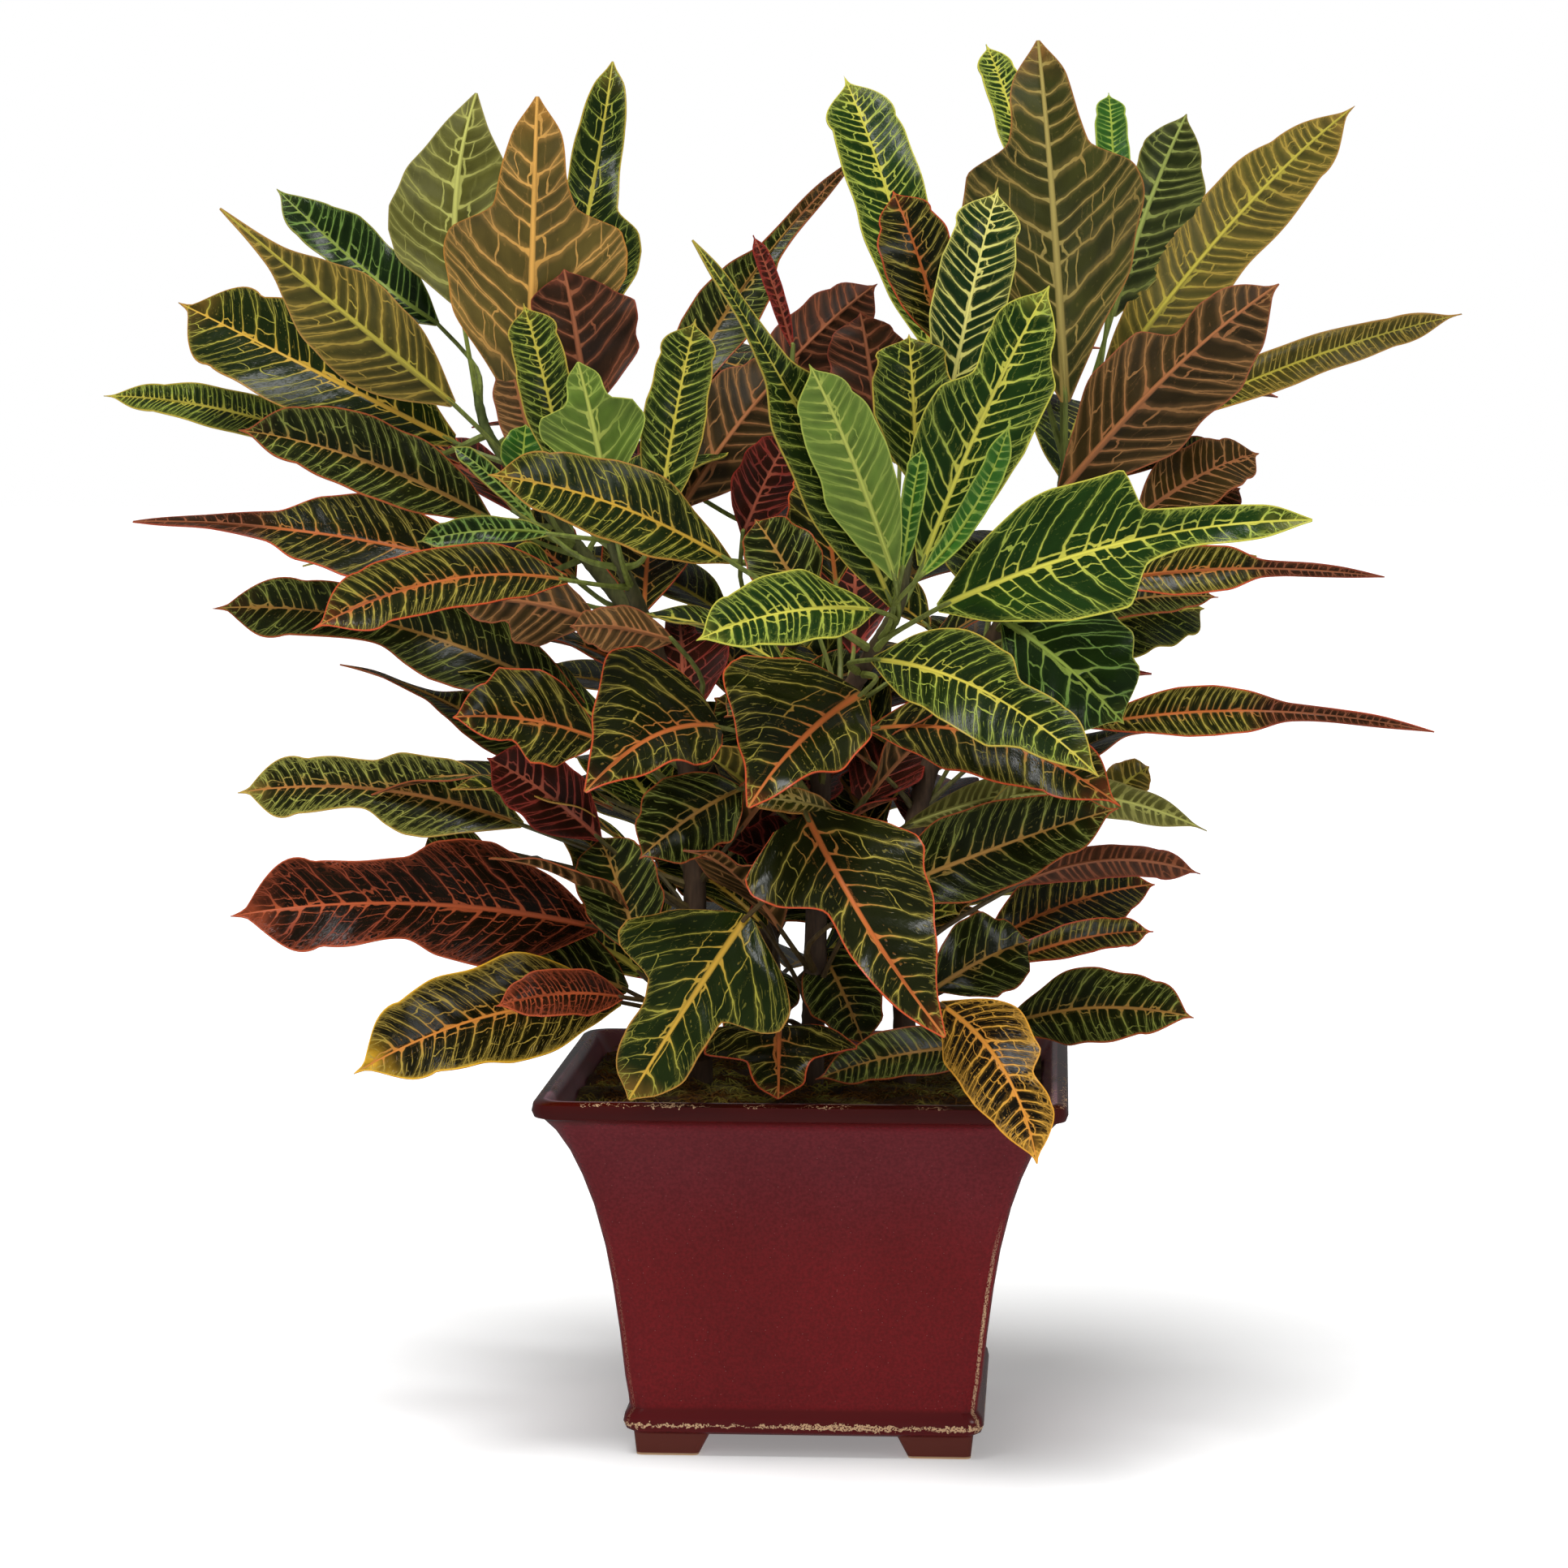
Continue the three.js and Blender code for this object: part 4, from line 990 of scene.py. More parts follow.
@dataclass(frozen=True)
class OxbloodGlaze(Finish):
    """Copper-red glaze on cast stoneware: glossy, thin and dark on edges, worn to the tan body in places.

    The eye sees a deep wine red, greyer near the top, with fine pale specks, a nearly black red on the
    rolled rim, and tan wear along the bead and the upright edges. The inner wall is painted a paler
    purple-grey, painted light that stands in for light in the foliage's shade, and the pale dashes on the
    rim's lip are partly wear and partly a painted highlight. Heights and widths are in metres. A torn line,
    the bead's of wear and the lip's of wear and painted highlight, has its height, the noise that it starts
    and is full at, and its least and full half width.
    """

    name: str = "oxblood_glazed_stoneware"
    body: str = "#69090f"
    high: str = "#5c181e"
    high_from: tuple[float, float] = (0.11, 0.19)
    specks: str = "#a06a68"
    rim: str = "#3e0503"
    rim_from: tuple[float, float] = (0.1655, 0.1695)
    bead: str = "#54090c"
    bead_from: tuple[float, float] = (0.0255, 0.0225)
    foot: str = "#62291e"
    foot_from: tuple[float, float] = (0.0118, 0.0104)
    # Painted light: the inner wall's paler purple-grey stands in for light that the foliage's shade takes off
    # it
    inner: str = "#956470"
    clay: str = "#c9a47c"
    bead_line: tuple[float, ...] = (0.0187, 0.36, 0.66, 0.0002, 0.0015)
    # The lip's pale dashes are partly wear and partly a painted highlight on the glossy glaze
    lip_wear_and_highlight_line: tuple[float, ...] = (0.1801, 0.5, 0.75, 0, 0.0005)
    roughness: float = 0.24
    worn_roughness: float = 0.75

    def surface(self, put: partial) -> dict[str, object]:
        """Lays glaze, wear and painted light on Object coordinates centred on the planter's axis.

        Args:
            put: add_node for the material's tree.

        Returns:
            What the shader's inputs get.
        """
        spot = put("Mapping", put("TexCoord").outputs["Object"], Location=tuple(-AXIS))
        side, deep, up = put("SeparateXYZ", spot).outputs
        clouds = put("TexNoise", spot, Scale=9, Detail=4, Roughness=0.6)
        climb = put("Math MULTIPLY_ADD", clouds, 0.05, up)
        wall = put("Mix", put("MapRange SMOOTHSTEP", climb, *self.high_from), self.body, self.high)
        toned = put("Mix MULTIPLY", 1, wall, put("MapRange", clouds, 0.3, 0.7, 0.86, 1.14))
        # A fine dark mottle, about 1.5 mm, and specks about 0.3 mm across
        grained = put("MapRange", put("TexNoise", spot, Scale=650), 0.35, 0.65, 0.82, 1.12)
        mottled = put("Mix MULTIPLY", 1, toned, grained)
        speck = put("MapRange", put("TexVoronoi", spot, Scale=300), 0.05, 0.1, 0.2, 0)
        glazed = put("Mix", speck, mottled, self.specks)
        glazed = put("Mix", put("MapRange SMOOTHSTEP", up, *self.rim_from), glazed, self.rim)
        glazed = put("Mix", put("MapRange SMOOTHSTEP", up, *self.bead_from), glazed, self.bead)
        glazed = put("Mix", put("MapRange", up, *self.foot_from), glazed, self.foot)

        # The inner wall faces the axis. Its paler purple-grey is painted light, lighter than the glaze to
        # stand in for light in the foliage's shade
        normal = put("NewGeometry").outputs["Normal"]
        outward = put("VectorMath DOT_PRODUCT", normal, put("CombineXYZ", side, deep))
        inward = put("MapRange", outward, -0.002, -0.02)

        # Wear: a torn line along the bead, pale dashes on the rim's lip that are partly wear and partly a
        # painted highlight, chips down the upright edges
        torn = put("TexNoise", spot, Scale=420, Detail=3)
        runs = put("TexNoise", spot, Scale=30)
        crumbs = put("TexNoise", spot, Scale=1300, Detail=1)
        ragged = put("Math MULTIPLY_ADD", torn, 0.006, up)
        crumbled = put("MapRange", crumbs, 0.42, 0.5)
        lines = []
        for height, *run in (self.bead_line, self.lip_wear_and_highlight_line):
            off = put("Math ABSOLUTE", put("Math SUBTRACT", ragged, height))
            line = put("Math LESS_THAN", off, put("MapRange", runs, *run))
            lines.append(put("Math MULTIPLY", line, crumbled))
        wide, long = put("Math ABSOLUTE", side), put("Math ABSOLUTE", deep)
        corner = put("Math DIVIDE", put("Math MINIMUM", wide, long), put("Math MAXIMUM", wide, long))
        on_edge = put("MapRange", corner, 0.975, 0.99)
        chipped = put("MapRange", crumbs, 0.44, 0.52)
        low = put("MapRange", up, 0.12, 0.08)
        more_right = put("MapRange", side, -0.05, 0.06, 0.12, 0.85)
        outside = put("Math SUBTRACT", put("MapRange", up, 0.0125, 0.0145), inward)
        edges = chained(put, "Math MULTIPLY", on_edge, chipped, low, more_right)
        edge_wear = put("Math MULTIPLY", edges, outside, use_clamp=True)
        sole = put("MapRange", up, 0.0012, 0.0006)
        # worn holds the wear and also the lip's painted highlight dashes
        worn = chained(put, "Math MAXIMUM", *lines, edge_wear, sole)
        sunk = put("Math MULTIPLY_ADD", worn, -0.5, put("TexNoise", spot, Scale=120, Detail=1))
        # The inner wall gets its painted-light colour, then wear and the lip's painted highlight dashes get
        # the clay's
        return {
            "Base_Color": put("Mix", worn, put("Mix", inward, glazed, self.inner), self.clay),
            "Roughness": put("MapRange", worn, 0, 1, self.roughness, self.worn_roughness),
            "Normal": put("Bump", Strength=0.12, Distance=0.0006, Height=sunk),
        }


@dataclass(frozen=True)
class Fibre(Finish):
    """Moss or peat: matt, crumbly and dark between its paler threads, with grain patches to the metre."""

    dark: str
    pale: str
    grain: float
    withered: str = "#b27f62"
    roughness: float = 0.95

    def surface(self, put: partial) -> dict[str, object]:
        """Mixes dark and pale fibres, withered in patches.

        Args:
            put: add_node for the material's tree.

        Returns:
            What the shader's inputs get.
        """
        spot = put("TexCoord").outputs["Object"]
        coarse = put("TexNoise", spot, Scale=self.grain * 0.12, Detail=3)
        fine = put("TexNoise", spot, Scale=self.grain, Detail=4)
        spread = put("MapRange", put("Math MULTIPLY", coarse, fine), 0.15, 0.38)
        tone = put("Mix", spread, self.dark, self.pale)
        # Withered patches lie about 25 mm apart
        withered = put("MapRange", put("TexNoise", spot, Scale=40, Detail=3), 0.42, 0.54)
        return {
            "Base_Color": put("Mix MULTIPLY", withered, tone, self.withered),
            "Roughness": self.roughness,
            "Normal": put("Bump", Strength=0.8, Distance=0.001, Height=fine),
        }


@dataclass(frozen=True)
class Paper(Finish):
    """Matt white paper for the floor, which glows a little so that its shadows stay pale."""

    colour: str = "#f2f2f2"
    glow: float = 0.24

    def surface(self, put: partial) -> dict[str, object]:
        """What the shader's inputs get."""
        white = {"Base_Color": self.colour, "Roughness": 0.9, "Specular_IOR_Level": 0.0}
        return white | {"Emission_Color": "#ffffff", "Emission_Strength": self.glow}


LEAF_UPPER = BladeSkin("croton_leaf_waxy_upper_side", 1.5, (0.5, 0.16), 0.12, (2.0, 0.12), 0.2, 0.7)
LEAF_UNDER = BladeSkin("croton_leaf_matt_under_side", 1.7, (0.44, 0.24), 0.3, (3.4, 0.3), 0.48, -0.5)
BARK = StemSkin("croton_bark", "#4b3828", "#566230", 0.42, 0.56, 0.75)
STALK_SKIN = StemSkin("croton_leaf_stalk", "#544226", "#77823a", 0.3, 0.5, 0.45)
MOSS_MAT = Fibre("dried_moss", "#3a2c10", "#7f7630", 420.0)
MOSS_THREAD = Fibre("moss_thread", "#5c4a1e", "#b2ac48", 160.0)
PEAT = Fibre("potting_peat", "#120d09", "#33271d", 380.0)


def tubes(name: str, lines: list[tuple[np.ndarray, np.ndarray]], roundness: int, finish: Finish) -> Object:
    """Models round stems as curves with a bevel, and makes them one mesh.

    Args:
        name: the object's name.
        lines: for each stem its points and radii in millimetres.
        roundness: the bevel's resolution.
        finish: the stems' finish.

    Returns:
        The mesh object.
    """
    curve = bpy.data.curves.new(name, "CURVE")
    curve.dimensions = "3D"
    curve.bevel_depth = MM
    curve.bevel_resolution = roundness
    curve.use_fill_caps = True
    for points, radii in lines:
        spline = curve.splines.new("POLY")
        spline.points.add(len(points) - 1)
        spots = np.column_stack((in_metres(points), np.ones(len(points))))
        spline.points.foreach_set("co", spots.astype(np.float32).ravel())
        spline.points.foreach_set("radius", np.asarray(radii, dtype=np.float32))
    made = bpy.data.objects.new(name, curve)
    bpy.context.scene.collection.objects.link(made)
    pick(made)
    bpy.ops.object.convert(target="MESH")
    edit_all()
    bpy.ops.mesh.remove_doubles(threshold=0.02 * MM)
    face_outwards()
    smooth_below(50)
    made = bpy.context.object
    dress(made, finish)
    return made


@dataclass
class Croton:
    """One plant of the bush, grown from a plan: woody stems, leaf stalks and blades, in millimetres.

    Side veins lie vein_share of the half width apart, and between the two vein_gaps. vein_sweep is how far
    they lean to the tip, and vein_drift how unevenly they follow each other. quilting is how high the skin
    puffs up for each millimetre of half width, and at most. rounding swells a blade's end from the first
    share of end_swell on, over the second; end_arc is where the end has closed, and over what share it
    closes. point is the half width and length of what is left. waving makes the margin wavy. Scars ring
    the wood a scar_gap apart and stand out by a share of its radius. stalk_radii run from the branch to
    the blade.
    """

    plan: Plan
    number: int
    vein_share: float = 0.36
    vein_gaps: tuple[float, float] = (4.5, 13.5)
    vein_sweep: float = 0.6
    vein_drift: float = 0.3
    quilting: tuple[float, float] = (0.036, 1.5)
    sway: float = 0.5
    rib_height: float = 1.15
    rounding: float = 0.32
    end_swell: tuple[float, float] = (0.76, 0.19)
    end_arc: tuple[float, float] = (0.97, 0.2)
    point: tuple[float, float] = (0.09, 0.06)
    waving: float = 0.045
    scar_gap: float = 13.0
    scar_height: float = 0.07
    stalk_radii: tuple[float, ...] = (2.3, 1.35, 1.2, 0.8)
    limbs: list[np.ndarray] = field(default_factory=list)

    def grow_limbs(self) -> None:
        """Lays the middle lines of the trunk and branches, smoothly through the plan's points."""
        for branch in self.plan.branches:
            line = [placed(spot) for spot in branch.path]
            if not self.limbs:
                line.insert(0, np.array([*self.plan.foot, STEM_STRAIGHT_TOP]))
            self.limbs.append(smooth_line(np.array(line), 6))

    def nearest_limb(self, wanted: np.ndarray) -> np.ndarray:
        """The point of the limbs nearest to a point."""
        spots = np.vstack(self.limbs)
        return spots[np.argmin(np.linalg.norm(spots - wanted, axis=1))]

    def leaves(self) -> list[tuple[int, Leaf]]:
        """Lists the plant's leaves, first those placed one by one.

        Returns:
            Every leaf with its number.
        """
        grown = list(self.plan.leaves)
        for i, fan in enumerate(self.plan.fans):
            grown += fan.leaves(10 * self.number + i)
        return [(100 * self.number + i, leaf) for i, leaf in enumerate(grown)]

    def stalk(self, leaf: Leaf, number: int) -> tuple[np.ndarray, np.ndarray]:
        """Runs a stalk from inside the branch to the blade.

        Args:
            leaf: its leaf.
            number: the leaf's number, which the stalk's slope comes from.

        Returns:
            The points of its middle line, and its radii there.
        """
        (base, after), (way, _), _ = leaf.midrib(np.array([0.0, 0.04]))
        drop = np.array([0, 0, -STALK_DROP * chance(number, STALK_DROP)])
        root = self.nearest_limb(base - way * STALK_REACH + drop)
        before = base - way * 0.4 * np.linalg.norm(base - root)
        line = [root, 0.35 * root + 0.65 * before, base, after]
        return smooth_line(np.array(line), 4), smooth_line(np.array([self.stalk_radii]).T, 4)[:, 0]

    def outline(self, leaf: Leaf, number: int, shares: np.ndarray) -> list[np.ndarray]:
        """The half widths of a blade, with a rounded end before its point and a slightly wavy margin.

        Args:
            leaf: the leaf.
            number: its number, which the waves come from.
            shares: shares of its length.

        Returns:
            The left and right half widths as shares of the widest.
        """
        # The end swells and then closes in an arc, past which a short point is left
        start, over = self.end_swell
        swell = np.sin(np.pi * np.clip((shares - start) / over, 0, 1)) ** 0.8
        closed, over = self.end_arc
        ending = np.clip((closed - shares) / over, 0, 1)
        nose = np.sqrt(ending * (2 - ending))
        thick, long = self.point
        point = thick * np.clip((1 - shares) / long, 0, 1)
        # The waves die out at both ends
        calm = np.minimum(1, 6 * shares) * np.minimum(1, 8 * (1 - shares))
        made = []
        for side, widths in enumerate(leaf.shape.widths(shares)):
            turn = 6.3 * chance(number, 11 + side)
            waves = np.sin(11 * shares + turn) + 0.5 * np.sin(27 * shares + 2 * turn)
            # An outline that is still wide near its end gets a blunt one
            blunt = np.clip(7 * np.interp(0.9, shares, widths) - 1.7, 0, 1)
            lobe = self.rounding * blunt * np.interp(0.8, shares, widths) * swell
            full = np.minimum(1, widths * (1 + self.waving * waves * calm) + lobe)
            made.append(np.maximum(full * (1 - blunt * (1 - nose)), np.minimum(full, point)))
        return made

    def blade(self, leaf: Leaf, number: int) -> Object:
        """Models the blade of a leaf: a grid laid over its folded, waved outline and given its thickness.

        Args:
            leaf: the leaf.
            number: its number, which its small irregularities come from.

        Returns:
            The blade, with its maps and colours.
        """
        columns = np.concatenate((-np.array(BLADE_COLUMNS[:0:-1]), BLADE_COLUMNS))
        middle = len(columns) // 2
        rows = int(np.clip(round(leaf.length() / BLADE_ROW), LEAST_ROWS, MOST_ROWS))
        deselect_all()
        bpy.ops.mesh.primitive_grid_add(x_subdivisions=2 * middle, y_subdivisions=rows, size=2)
        made = bpy.context.object
        mesh = made.data
        flat = (read_points(mesh) + 1) / 2
        column = np.rint(flat[:, 0] * 2 * middle).astype(int)
        row = np.rint(flat[:, 1] * rows).astype(int)

        shares = np.linspace(0, 1, rows + 1)
        points, along, facing = (rail[row] for rail in leaf.midrib(shares))
        share, aside, sign = shares[row], np.abs(columns[column]), np.sign(columns[column])
        left, right = self.outline(leaf, number, shares)
        half = leaf.half_width()
        widest = half * np.where(sign < 0, left[row], right[row])
        reach = widest * aside
        upward = 1 if leaf.seen is UPPER else -1

        # Side veins lean less on a small blade, lie closer in a finer net, and are a little uneven
        gap = float(np.clip(self.vein_share * half, *self.vein_gaps)) * (1 - 0.4 * leaf.look.value.net)
        lean = self.vein_sweep * min(1.0, 0.3 + half / 45)
        counts = []
        for side in (0, 1):
            travelled = share * leaf.length() - lean * reach * (0.75 + 0.6 * aside)
            turn = travelled / gap + 0.5 * side + chance(number, 5)
            uneven = np.sin(1.3 * turn + 9 * chance(number, 6 + side))
            counts.append(turn + self.vein_drift * uneven)

        # The skin puffs up between them, and the whole blade is folded, rippled and swayed
        rate, most = self.quilting
        swell = np.abs(np.sin(np.pi * np.where(sign < 0, *counts))) ** 0.8
        puff = np.minimum(most, rate * widest) * swell * np.minimum(1, 6 * (1 - share))
        puff *= np.sin(np.pi * np.clip((aside - 0.06) / 0.94, 0, 1)) ** 0.7
        rise = math.sin(math.radians(leaf.fold)) * upward
        drift = np.where(sign < 0, chance(number, 1), chance(number, 3))
        ripple = WAVE_SHARE * half * np.sin(WAVE_TURNS * share + WAVE_DRIFT * drift) * aside
        sway = self.sway * np.sin(5 * share + 7 * chance(number, 8)) * np.sin(4 * aside + sign)
        eased = np.minimum(1, 4 * (1 - share)) * np.minimum(1, 8 * share)
        height = rise * reach + upward * puff + (ripple + sway) * eased
        spread = np.cross(along, facing) * (sign * reach)[:, None]
        sweep = along * (VEIN_RAKE * reach * (1 - share))[:, None]
        write_points(mesh, in_metres(points + spread + sweep + facing * height[:, None]))
        dress(made, LEAF_UPPER, LEAF_UNDER)
        below = 1 if leaf.seen is UPPER else 0
        mesh.polygons.foreach_set("material_index", [1 - below] * len(mesh.polygons))
        apply_modifier(
            made, "SOLIDIFY", thickness=BLADE_THICKNESS * MM, offset=0, use_even_offset=False,
            material_offset=upward,
        )

        # The rib stands out below and a little above
        total = len(mesh.vertices) // 2
        shell = read_points(mesh).reshape(2, total, 3)
        near_rib = np.interp(aside, BLADE_COLUMNS[:3], (1, 0.75, 0))
        proud = near_rib * (0.12 + self.rib_height * (1 - share) ** 0.8) * min(1, half / 20)
        shell[below] -= facing * (upward * proud)[:, None] * MM
        shell[1 - below] += facing * (upward * 0.25 * proud)[:, None] * MM
        write_points(mesh, np.clip(shell.reshape(-1, 3), *first_box))
        self.map_veins(mesh, counts, sign * reach, column, middle)
        measures = np.broadcast_arrays(widest - reach, gap, 0.55 + half / 60)
        places = np.broadcast_arrays(share, aside, chance(number, 10))
        for name, rows_of in (("measure", measures), ("place", places)):
            write_attribute(mesh, name, np.tile(np.stack(rows_of, axis=1), (2, 1)))
        self.tint(mesh, leaf, number, share)
        return made

    def map_veins(self, mesh: Mesh, counts: list[np.ndarray], across: np.ndarray,
                  column: np.ndarray, middle: int) -> None:
        """Writes the map Veins, in which the two halves of a blade meet at the rib.

        Args:
            mesh: the blade with its thickness.
            counts: the count of side veins at each vertex, on the left and on the right.
            across: the distance from the rib, in millimetres.
            column: each vertex's lengthwise line.
            middle: the rib's line.
        """
        corners = np.empty(len(mesh.loops), dtype=int)
        mesh.loops.foreach_get("vertex_index", corners)
        corners = corners.reshape(-1, 4) % len(column)
        right = (column[corners].mean(axis=1) > middle).astype(int)
        values = np.stack((np.stack(counts)[right[:, None], corners], across[corners]), axis=2)
        mesh.uv_layers.active.name = "Veins"
        mesh.uv_layers["Veins"].uv.foreach_set("vector", values.astype(np.float32).ravel())

    def tint(self, mesh: Mesh, leaf: Leaf, number: int, share: np.ndarray) -> None:
        """Writes a blade's colours and habits at each vertex, first of the seen side and then of the other.

        Args:
            mesh: the blade with its thickness.
            leaf: the leaf.
            number: its number.
            share: each vertex's share of the length.
        """
        light = 0.82 + 0.3 * chance(number, 9)
        turned = np.clip((share - leaf.tail) * 12 + 0.5, 0, 1)[:, None]
        looks = (leaf.look.value, leaf.look.other().value)
        for name in ("ground", "rib", "vein", "trim"):
            colours = np.array([linear(getattr(look, name)) for look in looks])
            seen, other = colours * light if name == "ground" else colours
            both = np.vstack((seen + (other - seen) * turned, other + (seen - other) * turned))
            write_attribute(mesh, name, both)
        habits = np.array([(look.net, look.fleck, look.flush) for look in looks])
        write_attribute(mesh, "habit", np.repeat(habits, len(share), axis=0))

    def finish(self, piece: Object, what: str) -> None:
        """Finishes one of the plant's pieces."""
        finish_piece(piece, f"{what}_{self.plan.name}", "foliage", f"croton_{self.plan.name}")

    def build_foliage(self) -> None:
        """Models every blade of the plant and joins them into one piece."""
        blades = [self.blade(leaf, number) for number, leaf in self.leaves()]
        pick(*blades)
        bpy.ops.object.join()
        smooth_below(38)
        self.finish(blades[0], "foliage")

    def build_wood(self) -> None:
        """Models the trunk and branches, ringed by the scars of fallen leaves, and the leaf stalks."""
        wood = []
        for i, (points, branch) in enumerate(zip(self.limbs, self.plan.branches)):
            if i == 0:
                points = np.vstack(([*self.plan.foot, STEM_FOOT], points))
            points = smooth_line(points, 3)
            run = np.concatenate(([0], np.cumsum(np.linalg.norm(np.diff(points, axis=0), axis=1))))
            thick, thin = branch.radius
            radii = thick + (thin - thick) * run / run[-1]
            ring = np.cos(2 * np.pi * run / self.scar_gap + 9 * chance(self.number, i)) ** 6
            radii *= 1 + self.scar_height * ring
            # A branch ends in a bud
            if i > 0:
                last = unit(points[-1] - points[-2])
                points = np.vstack((points, points[-1] + last * 3, points[-1] + last * 7))
                radii = np.concatenate((radii, [radii[-1] * 0.75, 0.4]))
            wood.append((points, radii))
        self.finish(tubes("stems", wood, 2, BARK), "stems")
        stalks = [self.stalk(leaf, number) for number, leaf in self.leaves()]
        self.finish(tubes("stalks", stalks, 1, STALK_SKIN), "stalks")

    def build(self) -> None:
        """Builds the plant's pieces."""
        self.grow_limbs()
        self.build_wood()
        self.build_foliage()


@dataclass
class Planter:
    """The square flared planter with its rolled rim, its bead and its four bracket feet, in millimetres.

    outer and inner give half width and height of the walls' levels; the corners' radius grows with them.
    A foot's ends are given by their half width and their distance from the axis.
    """

    outer: tuple[tuple[float, float], ...] = (
        (82.5, 11), (85.6, 13), (86.9, 16.5), (86.2, 20), (84, 23), (84.6, 29), (86, 38), (88.4, 61),
        (91.4, 84), (94.6, 103), (99.6, 124), (104.6, 139), (109.9, 151.6), (116.2, 162.4), (121.6, 168.6),
        (125.4, 170), (126.5, 173), (125.8, 176.6), (123.4, 178),
    )
    inner: tuple[tuple[float, float], ...] = (
        (120, 178), (118.6, 177), (117.4, 173), (114, 167), (108, 158), (103, 148), (95, 130), (87, 100),
        (80, 60), (76, 20),
    )
    corner: float = 8.4
    corner_sides: int = 10
    foot_top: tuple[float, float] = (19, 63)
    foot_bottom: tuple[float, float] = (15, 65.6)
    foot_height: float = 12.5
    foot_rounding: float = 3.2
    foot_sides: int = 6

    @staticmethod
    def start_plate(half: float, middle: np.ndarray, rounding: float, sides: int) -> Object:
        """Starts a solid from a square plate with rounded corners, left in edit mode and selected.

        Args:
            half: its half width.
            middle: its middle in metres.
            rounding: the radius of its corners.
            sides: the edges that a corner is cut into.

        Returns:
            The plate.
        """
        deselect_all()
        bpy.ops.mesh.primitive_plane_add(size=2 * half * MM, location=middle)
        made = bpy.context.object
        edit_all()
        bpy.ops.mesh.bevel(offset=rounding * MM, segments=sides, affect="VERTICES")
        bpy.ops.mesh.select_all(action="SELECT")
        return made

    def wall(self) -> Object:
        """Models the walls: a square with rounded corners, extruded from level to level.

        Returns:
            The walls.
        """
        levels = self.outer + self.inner
        half, height = levels[0]
        made = self.start_plate(half, AXIS + (0, 0, height * MM), self.corner, self.corner_sides)
        for (before, low), (after, high) in zip(levels, levels[1:]):
            growth = after / before
            extrude((0, 0, (high - low) * MM), (growth, growth, 1), AXIS + (0, 0, high * MM))
        face_outwards()
        return made

    def foot(self, side: int, deep: int) -> Object:
        """Models one bracket foot, wider at its top towards its neighbours.

        Args:
            side: 1 on the right and -1 on the left.
            deep: 1 at the back and -1 at the front.

        Returns:
            The foot.
        """
        half, centre = self.foot_bottom
        top_half, top_centre = self.foot_top
        way = np.array([side, deep, 0])
        middle = AXIS + way * centre * MM
        made = self.start_plate(half, middle, self.foot_rounding, self.foot_sides)
        move = (way * (top_centre - centre) + (0, 0, self.foot_height)) * MM
        extrude(tuple(move), (top_half / half, top_half / half, 1), middle + move)
        face_outwards()
        return made

    def build(self) -> None:
        """Joins walls and feet into one glazed body."""
        body = self.wall()
        for side in (-1, 1):
            for deep in (-1, 1):
                foot = self.foot(side, deep)
                apply_modifier(body, "BOOLEAN", operation="UNION", object=foot, solver="EXACT")
                bpy.data.objects.remove(foot)
        pick(body)
        bpy.ops.object.transform_apply(location=True, rotation=True, scale=True)
        smooth_below(42)
        dress(body, OxbloodGlaze())
        finish_piece(body, "planter", "glaze", "pot")


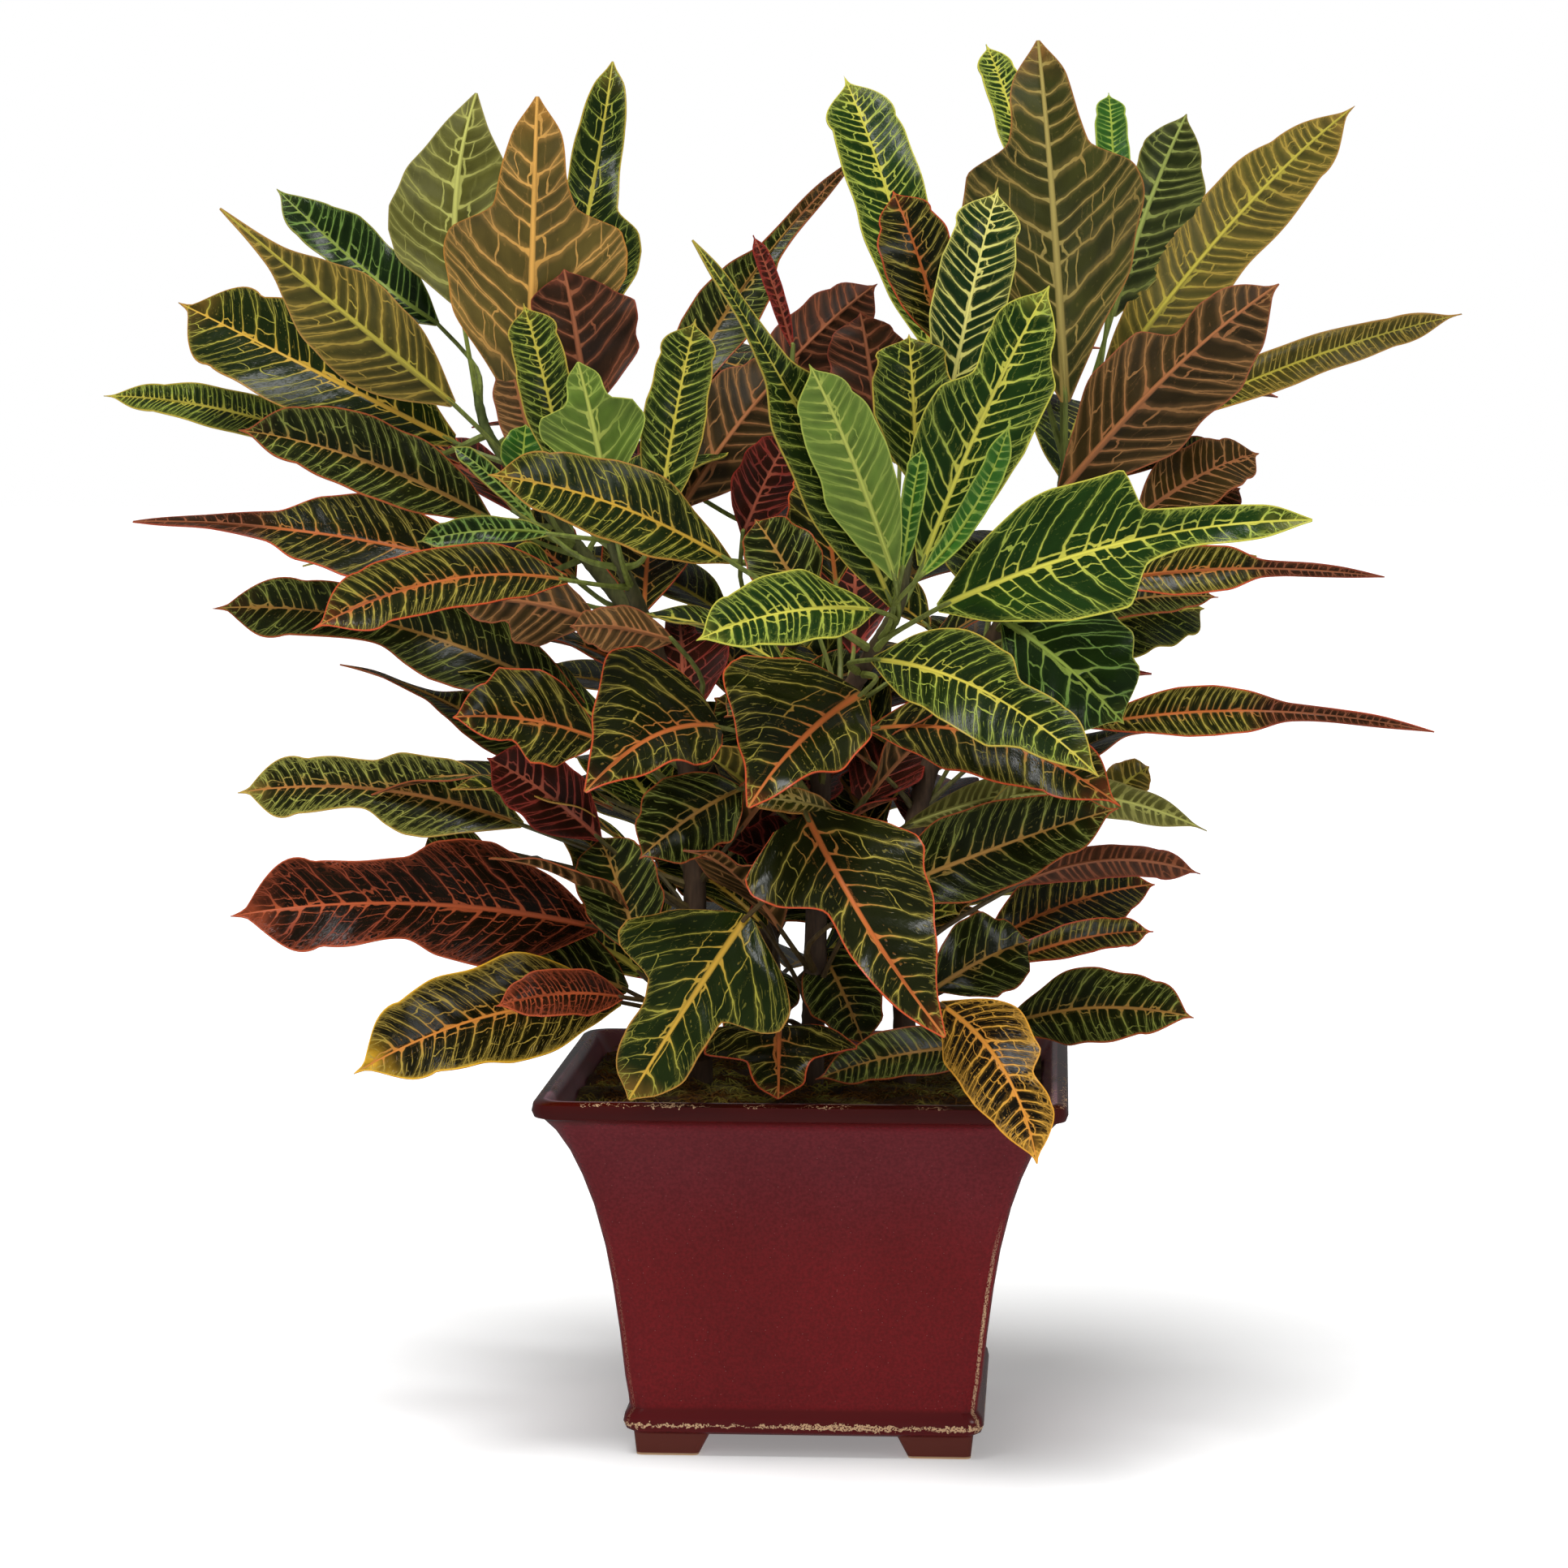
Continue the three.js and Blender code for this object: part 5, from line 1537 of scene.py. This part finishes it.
@dataclass
class MossBed:
    """A lumpy mat of dried moss with loose threads on it, in millimetres.

    Its lumps are waves, the longest of which turns by wave_pace radians a millimetre. Threads keep clear of
    the mat's edge. thread_bend is in radians, and thread_lift how high a thread arches over the mat.
    """

    half: float = 113.0
    rounding: float = 13.0
    floor: float = 158.6
    top: float = MOSS_TOP
    cells: int = 90
    lump: float = 1.08
    waves: int = 8
    wave_pace: float = 0.035
    threads: int = 2600
    clear: float = 3.0
    thread_steps: int = 5
    thread_length: tuple[float, float] = (5.0, 17.0)
    thread_bend: float = 2.2
    thread_lift: tuple[float, float] = (0.5, 3.4)
    thread_radius: float = 0.34
    seed: int = 7

    def height(self, across: np.ndarray, along: np.ndarray) -> np.ndarray:
        """Sums the waves of the mat's lumpy top, each in its own direction.

        Args:
            across: distances from the axis to the right.
            along: distances from the axis to the back.

        Returns:
            The heights there.
        """
        rise = np.zeros(len(across))
        for i in range(1, self.waves + 1):
            turn = 2 * np.pi * chance(i, 1)
            run = across * math.cos(turn) + along * math.sin(turn)
            rise += np.sin(run * self.wave_pace * i**0.9 + 9 * chance(i, 2)) / i**0.5
        return self.top + self.lump * rise

    def mat(self) -> Object:
        """Models the mat: a grid fitted into the planter, raised in lumps and closed below.

        Returns:
            The mat.
        """
        deselect_all()
        cells = self.cells
        bpy.ops.mesh.primitive_grid_add(x_subdivisions=cells, y_subdivisions=cells, size=2 * self.half)
        made = bpy.context.object
        points = read_points(made.data)
        inner = self.half - self.rounding
        flat = np.abs(points[:, :2])
        over = np.maximum(flat - inner, 0)
        far = np.linalg.norm(over, axis=1)
        pull = np.where(far > self.rounding, self.rounding / np.maximum(far, 1e-9), 1)
        points[:, :2] = np.sign(points[:, :2]) * (np.minimum(flat, inner) + over * pull[:, None])
        points[:, 2] = self.height(points[:, 0], points[:, 1])
        write_points(made.data, in_metres(points))
        edit_all()
        # Any drop will do, because the new face is then flattened at the floor
        extrude((0, 0, -MM), (1, 1, 0), np.array([0, 0, self.floor * MM]))
        face_outwards()
        smooth_below(60)
        dress(made, MOSS_MAT)
        return made

    def loose_threads(self) -> Object:
        """Models the threads: short bent strands with few sides, scattered over the mat.

        Returns:
            The threads.
        """
        draw = np.random.default_rng(self.seed)
        steps = np.linspace(0, 1, self.thread_steps)
        lines = []
        for _ in range(self.threads):
            spot = draw.uniform(-1, 1, 2) * (self.half - 2 * self.clear)
            turn = draw.uniform(0, 2 * np.pi)
            length = draw.uniform(*self.thread_length)
            heading = turn + draw.uniform(-self.thread_bend, self.thread_bend) * steps
            lift = draw.uniform(*self.thread_lift)
            strides = np.stack((np.cos(heading), np.sin(heading)), axis=1) * length / self.thread_steps
            reach = self.half - self.clear
            path = np.clip(spot + np.cumsum(strides, axis=0), -reach, reach)
            up = self.height(path[:, 0], path[:, 1]) - 0.4 + lift * np.sin(np.pi * steps)
            radii = self.thread_radius * (1.15 - 0.8 * steps) * draw.uniform(0.7, 1.5)
            lines.append((np.column_stack((path, up)), radii))
        return tubes("moss_threads", lines, 0, MOSS_THREAD)

    def build(self) -> None:
        """Builds the mat and its threads."""
        finish_piece(self.mat(), "moss_mat", "moss", "moss")
        finish_piece(self.loose_threads(), "moss_threads", "moss", "moss")


@dataclass
class Studio:
    """The pale floor, the soft lights and the camera, in metres.

    Each lamp has its name, kind, the way to it from the planter, its distance, strength and size. Strength is
    in watts for a disk and in watts a square metre for the sun, whose size is its angle in degrees.
    """

    floor_size: float = 60.0
    sky_light: float = 0.14
    lit_height: float = 0.35
    far_end: float = 20.0
    lamps: tuple[tuple[str, str, Triple, float, float, float], ...] = (
        ("key_light", "SUN", (-0.12, -0.16, 1.0), 3.0, 2.9, 36.0),
        ("front_light", "SUN", (-0.1, -1.0, 0.3), 3.0, 0.58, 60.0),
        ("top_light", "AREA", (-0.25, -0.35, 1.0), 2.4, 12.0, 0.6),
        ("fill_light", "AREA", (1.0, -0.75, 0.45), 2.4, 6.0, 0.8),
    )

    def lay_floor(self) -> None:
        """Lays the floor."""
        deselect_all()
        bpy.ops.mesh.primitive_plane_add(size=self.floor_size, location=(0, 0, 0))
        floor = bpy.context.object
        floor.name = "studio_floor"
        dress(floor, Paper("matt_white_paper"))
        floor.visible_glossy = False

    def light_sky(self) -> None:
        """Makes the sky behind the plant white, with a softer light than it looks."""
        world = bpy.data.worlds.new("studio_sky")
        world.use_nodes = True
        world.node_tree.nodes.clear()
        put = partial(add_node, world.node_tree)
        dim, white = (put("Background", "#ffffff", strength) for strength in (self.sky_light, 1.0))
        seen = put("LightPath").outputs["Is Camera Ray"]
        put("OutputWorld", put("MixShader", seen, dim, white))
        bpy.context.scene.world = world

    def hang_lamps(self) -> None:
        """Hangs the lamps round the plant, each aimed at its middle."""
        middle = AXIS + (0, 0, self.lit_height)
        for name, kind, way, distance, strength, size in self.lamps:
            light = bpy.data.lights.new(name, kind)
            light.energy = strength
            if kind == "SUN":
                light.angle = math.radians(size)
            else:
                light.shape = "DISK"
                light.size = size
            lamp = self.aimed(name, light, middle + unit(np.array(way)) * distance, middle)
            lamp.visible_glossy = kind != "SUN"

    def aimed(self, name: str, data: ID, spot: np.ndarray, target: np.ndarray) -> Object:
        """Puts a lamp or camera at a spot, looking at a target with its top up.

        Args:
            name: the object's name.
            data: the lamp or camera.
            spot: its place.
            target: the point that it looks at.

        Returns:
            The object.
        """
        made = bpy.data.objects.new(name, data)
        bpy.context.scene.collection.objects.link(made)
        back = unit(spot - target)
        right = unit(np.cross((0, 0, 1), back))
        rows = np.column_stack((right, np.cross(back, right), back, spot)).tolist()
        made.matrix_world = Matrix((*rows, (0, 0, 0, 1)))
        return made

    def build(self) -> None:
        """Builds the stage and puts the camera at the front view."""
        scene = bpy.context.scene
        scene.view_settings.view_transform = "Standard"
        self.lay_floor()
        self.light_sky()
        self.hang_lamps()
        lens = bpy.data.cameras.new("front_camera")
        lens.sensor_width = SENSOR
        lens.lens = SENSOR * VIEW_DISTANCE / (FRAME_STEPS * STEP)
        lens.clip_end = self.far_end
        target = in_metres(VIEW_TARGET)
        scene.camera = self.aimed("front_camera", lens, target + TO_VIEWER * VIEW_DISTANCE * MM, target)


def main() -> None:
    """Builds the planter, what fills it, the plants and the studio."""
    logging.basicConfig(level=logging.INFO, format="%(message)s")
    Planter().build()
    dress(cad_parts["soil"], PEAT)
    MossBed().build()
    for number, plan in enumerate(PLANS):
        Croton(plan, number).build()
    Studio().build()
    log.info("from %s to %s", *first_box)


if __name__ == "__main__":
    main()
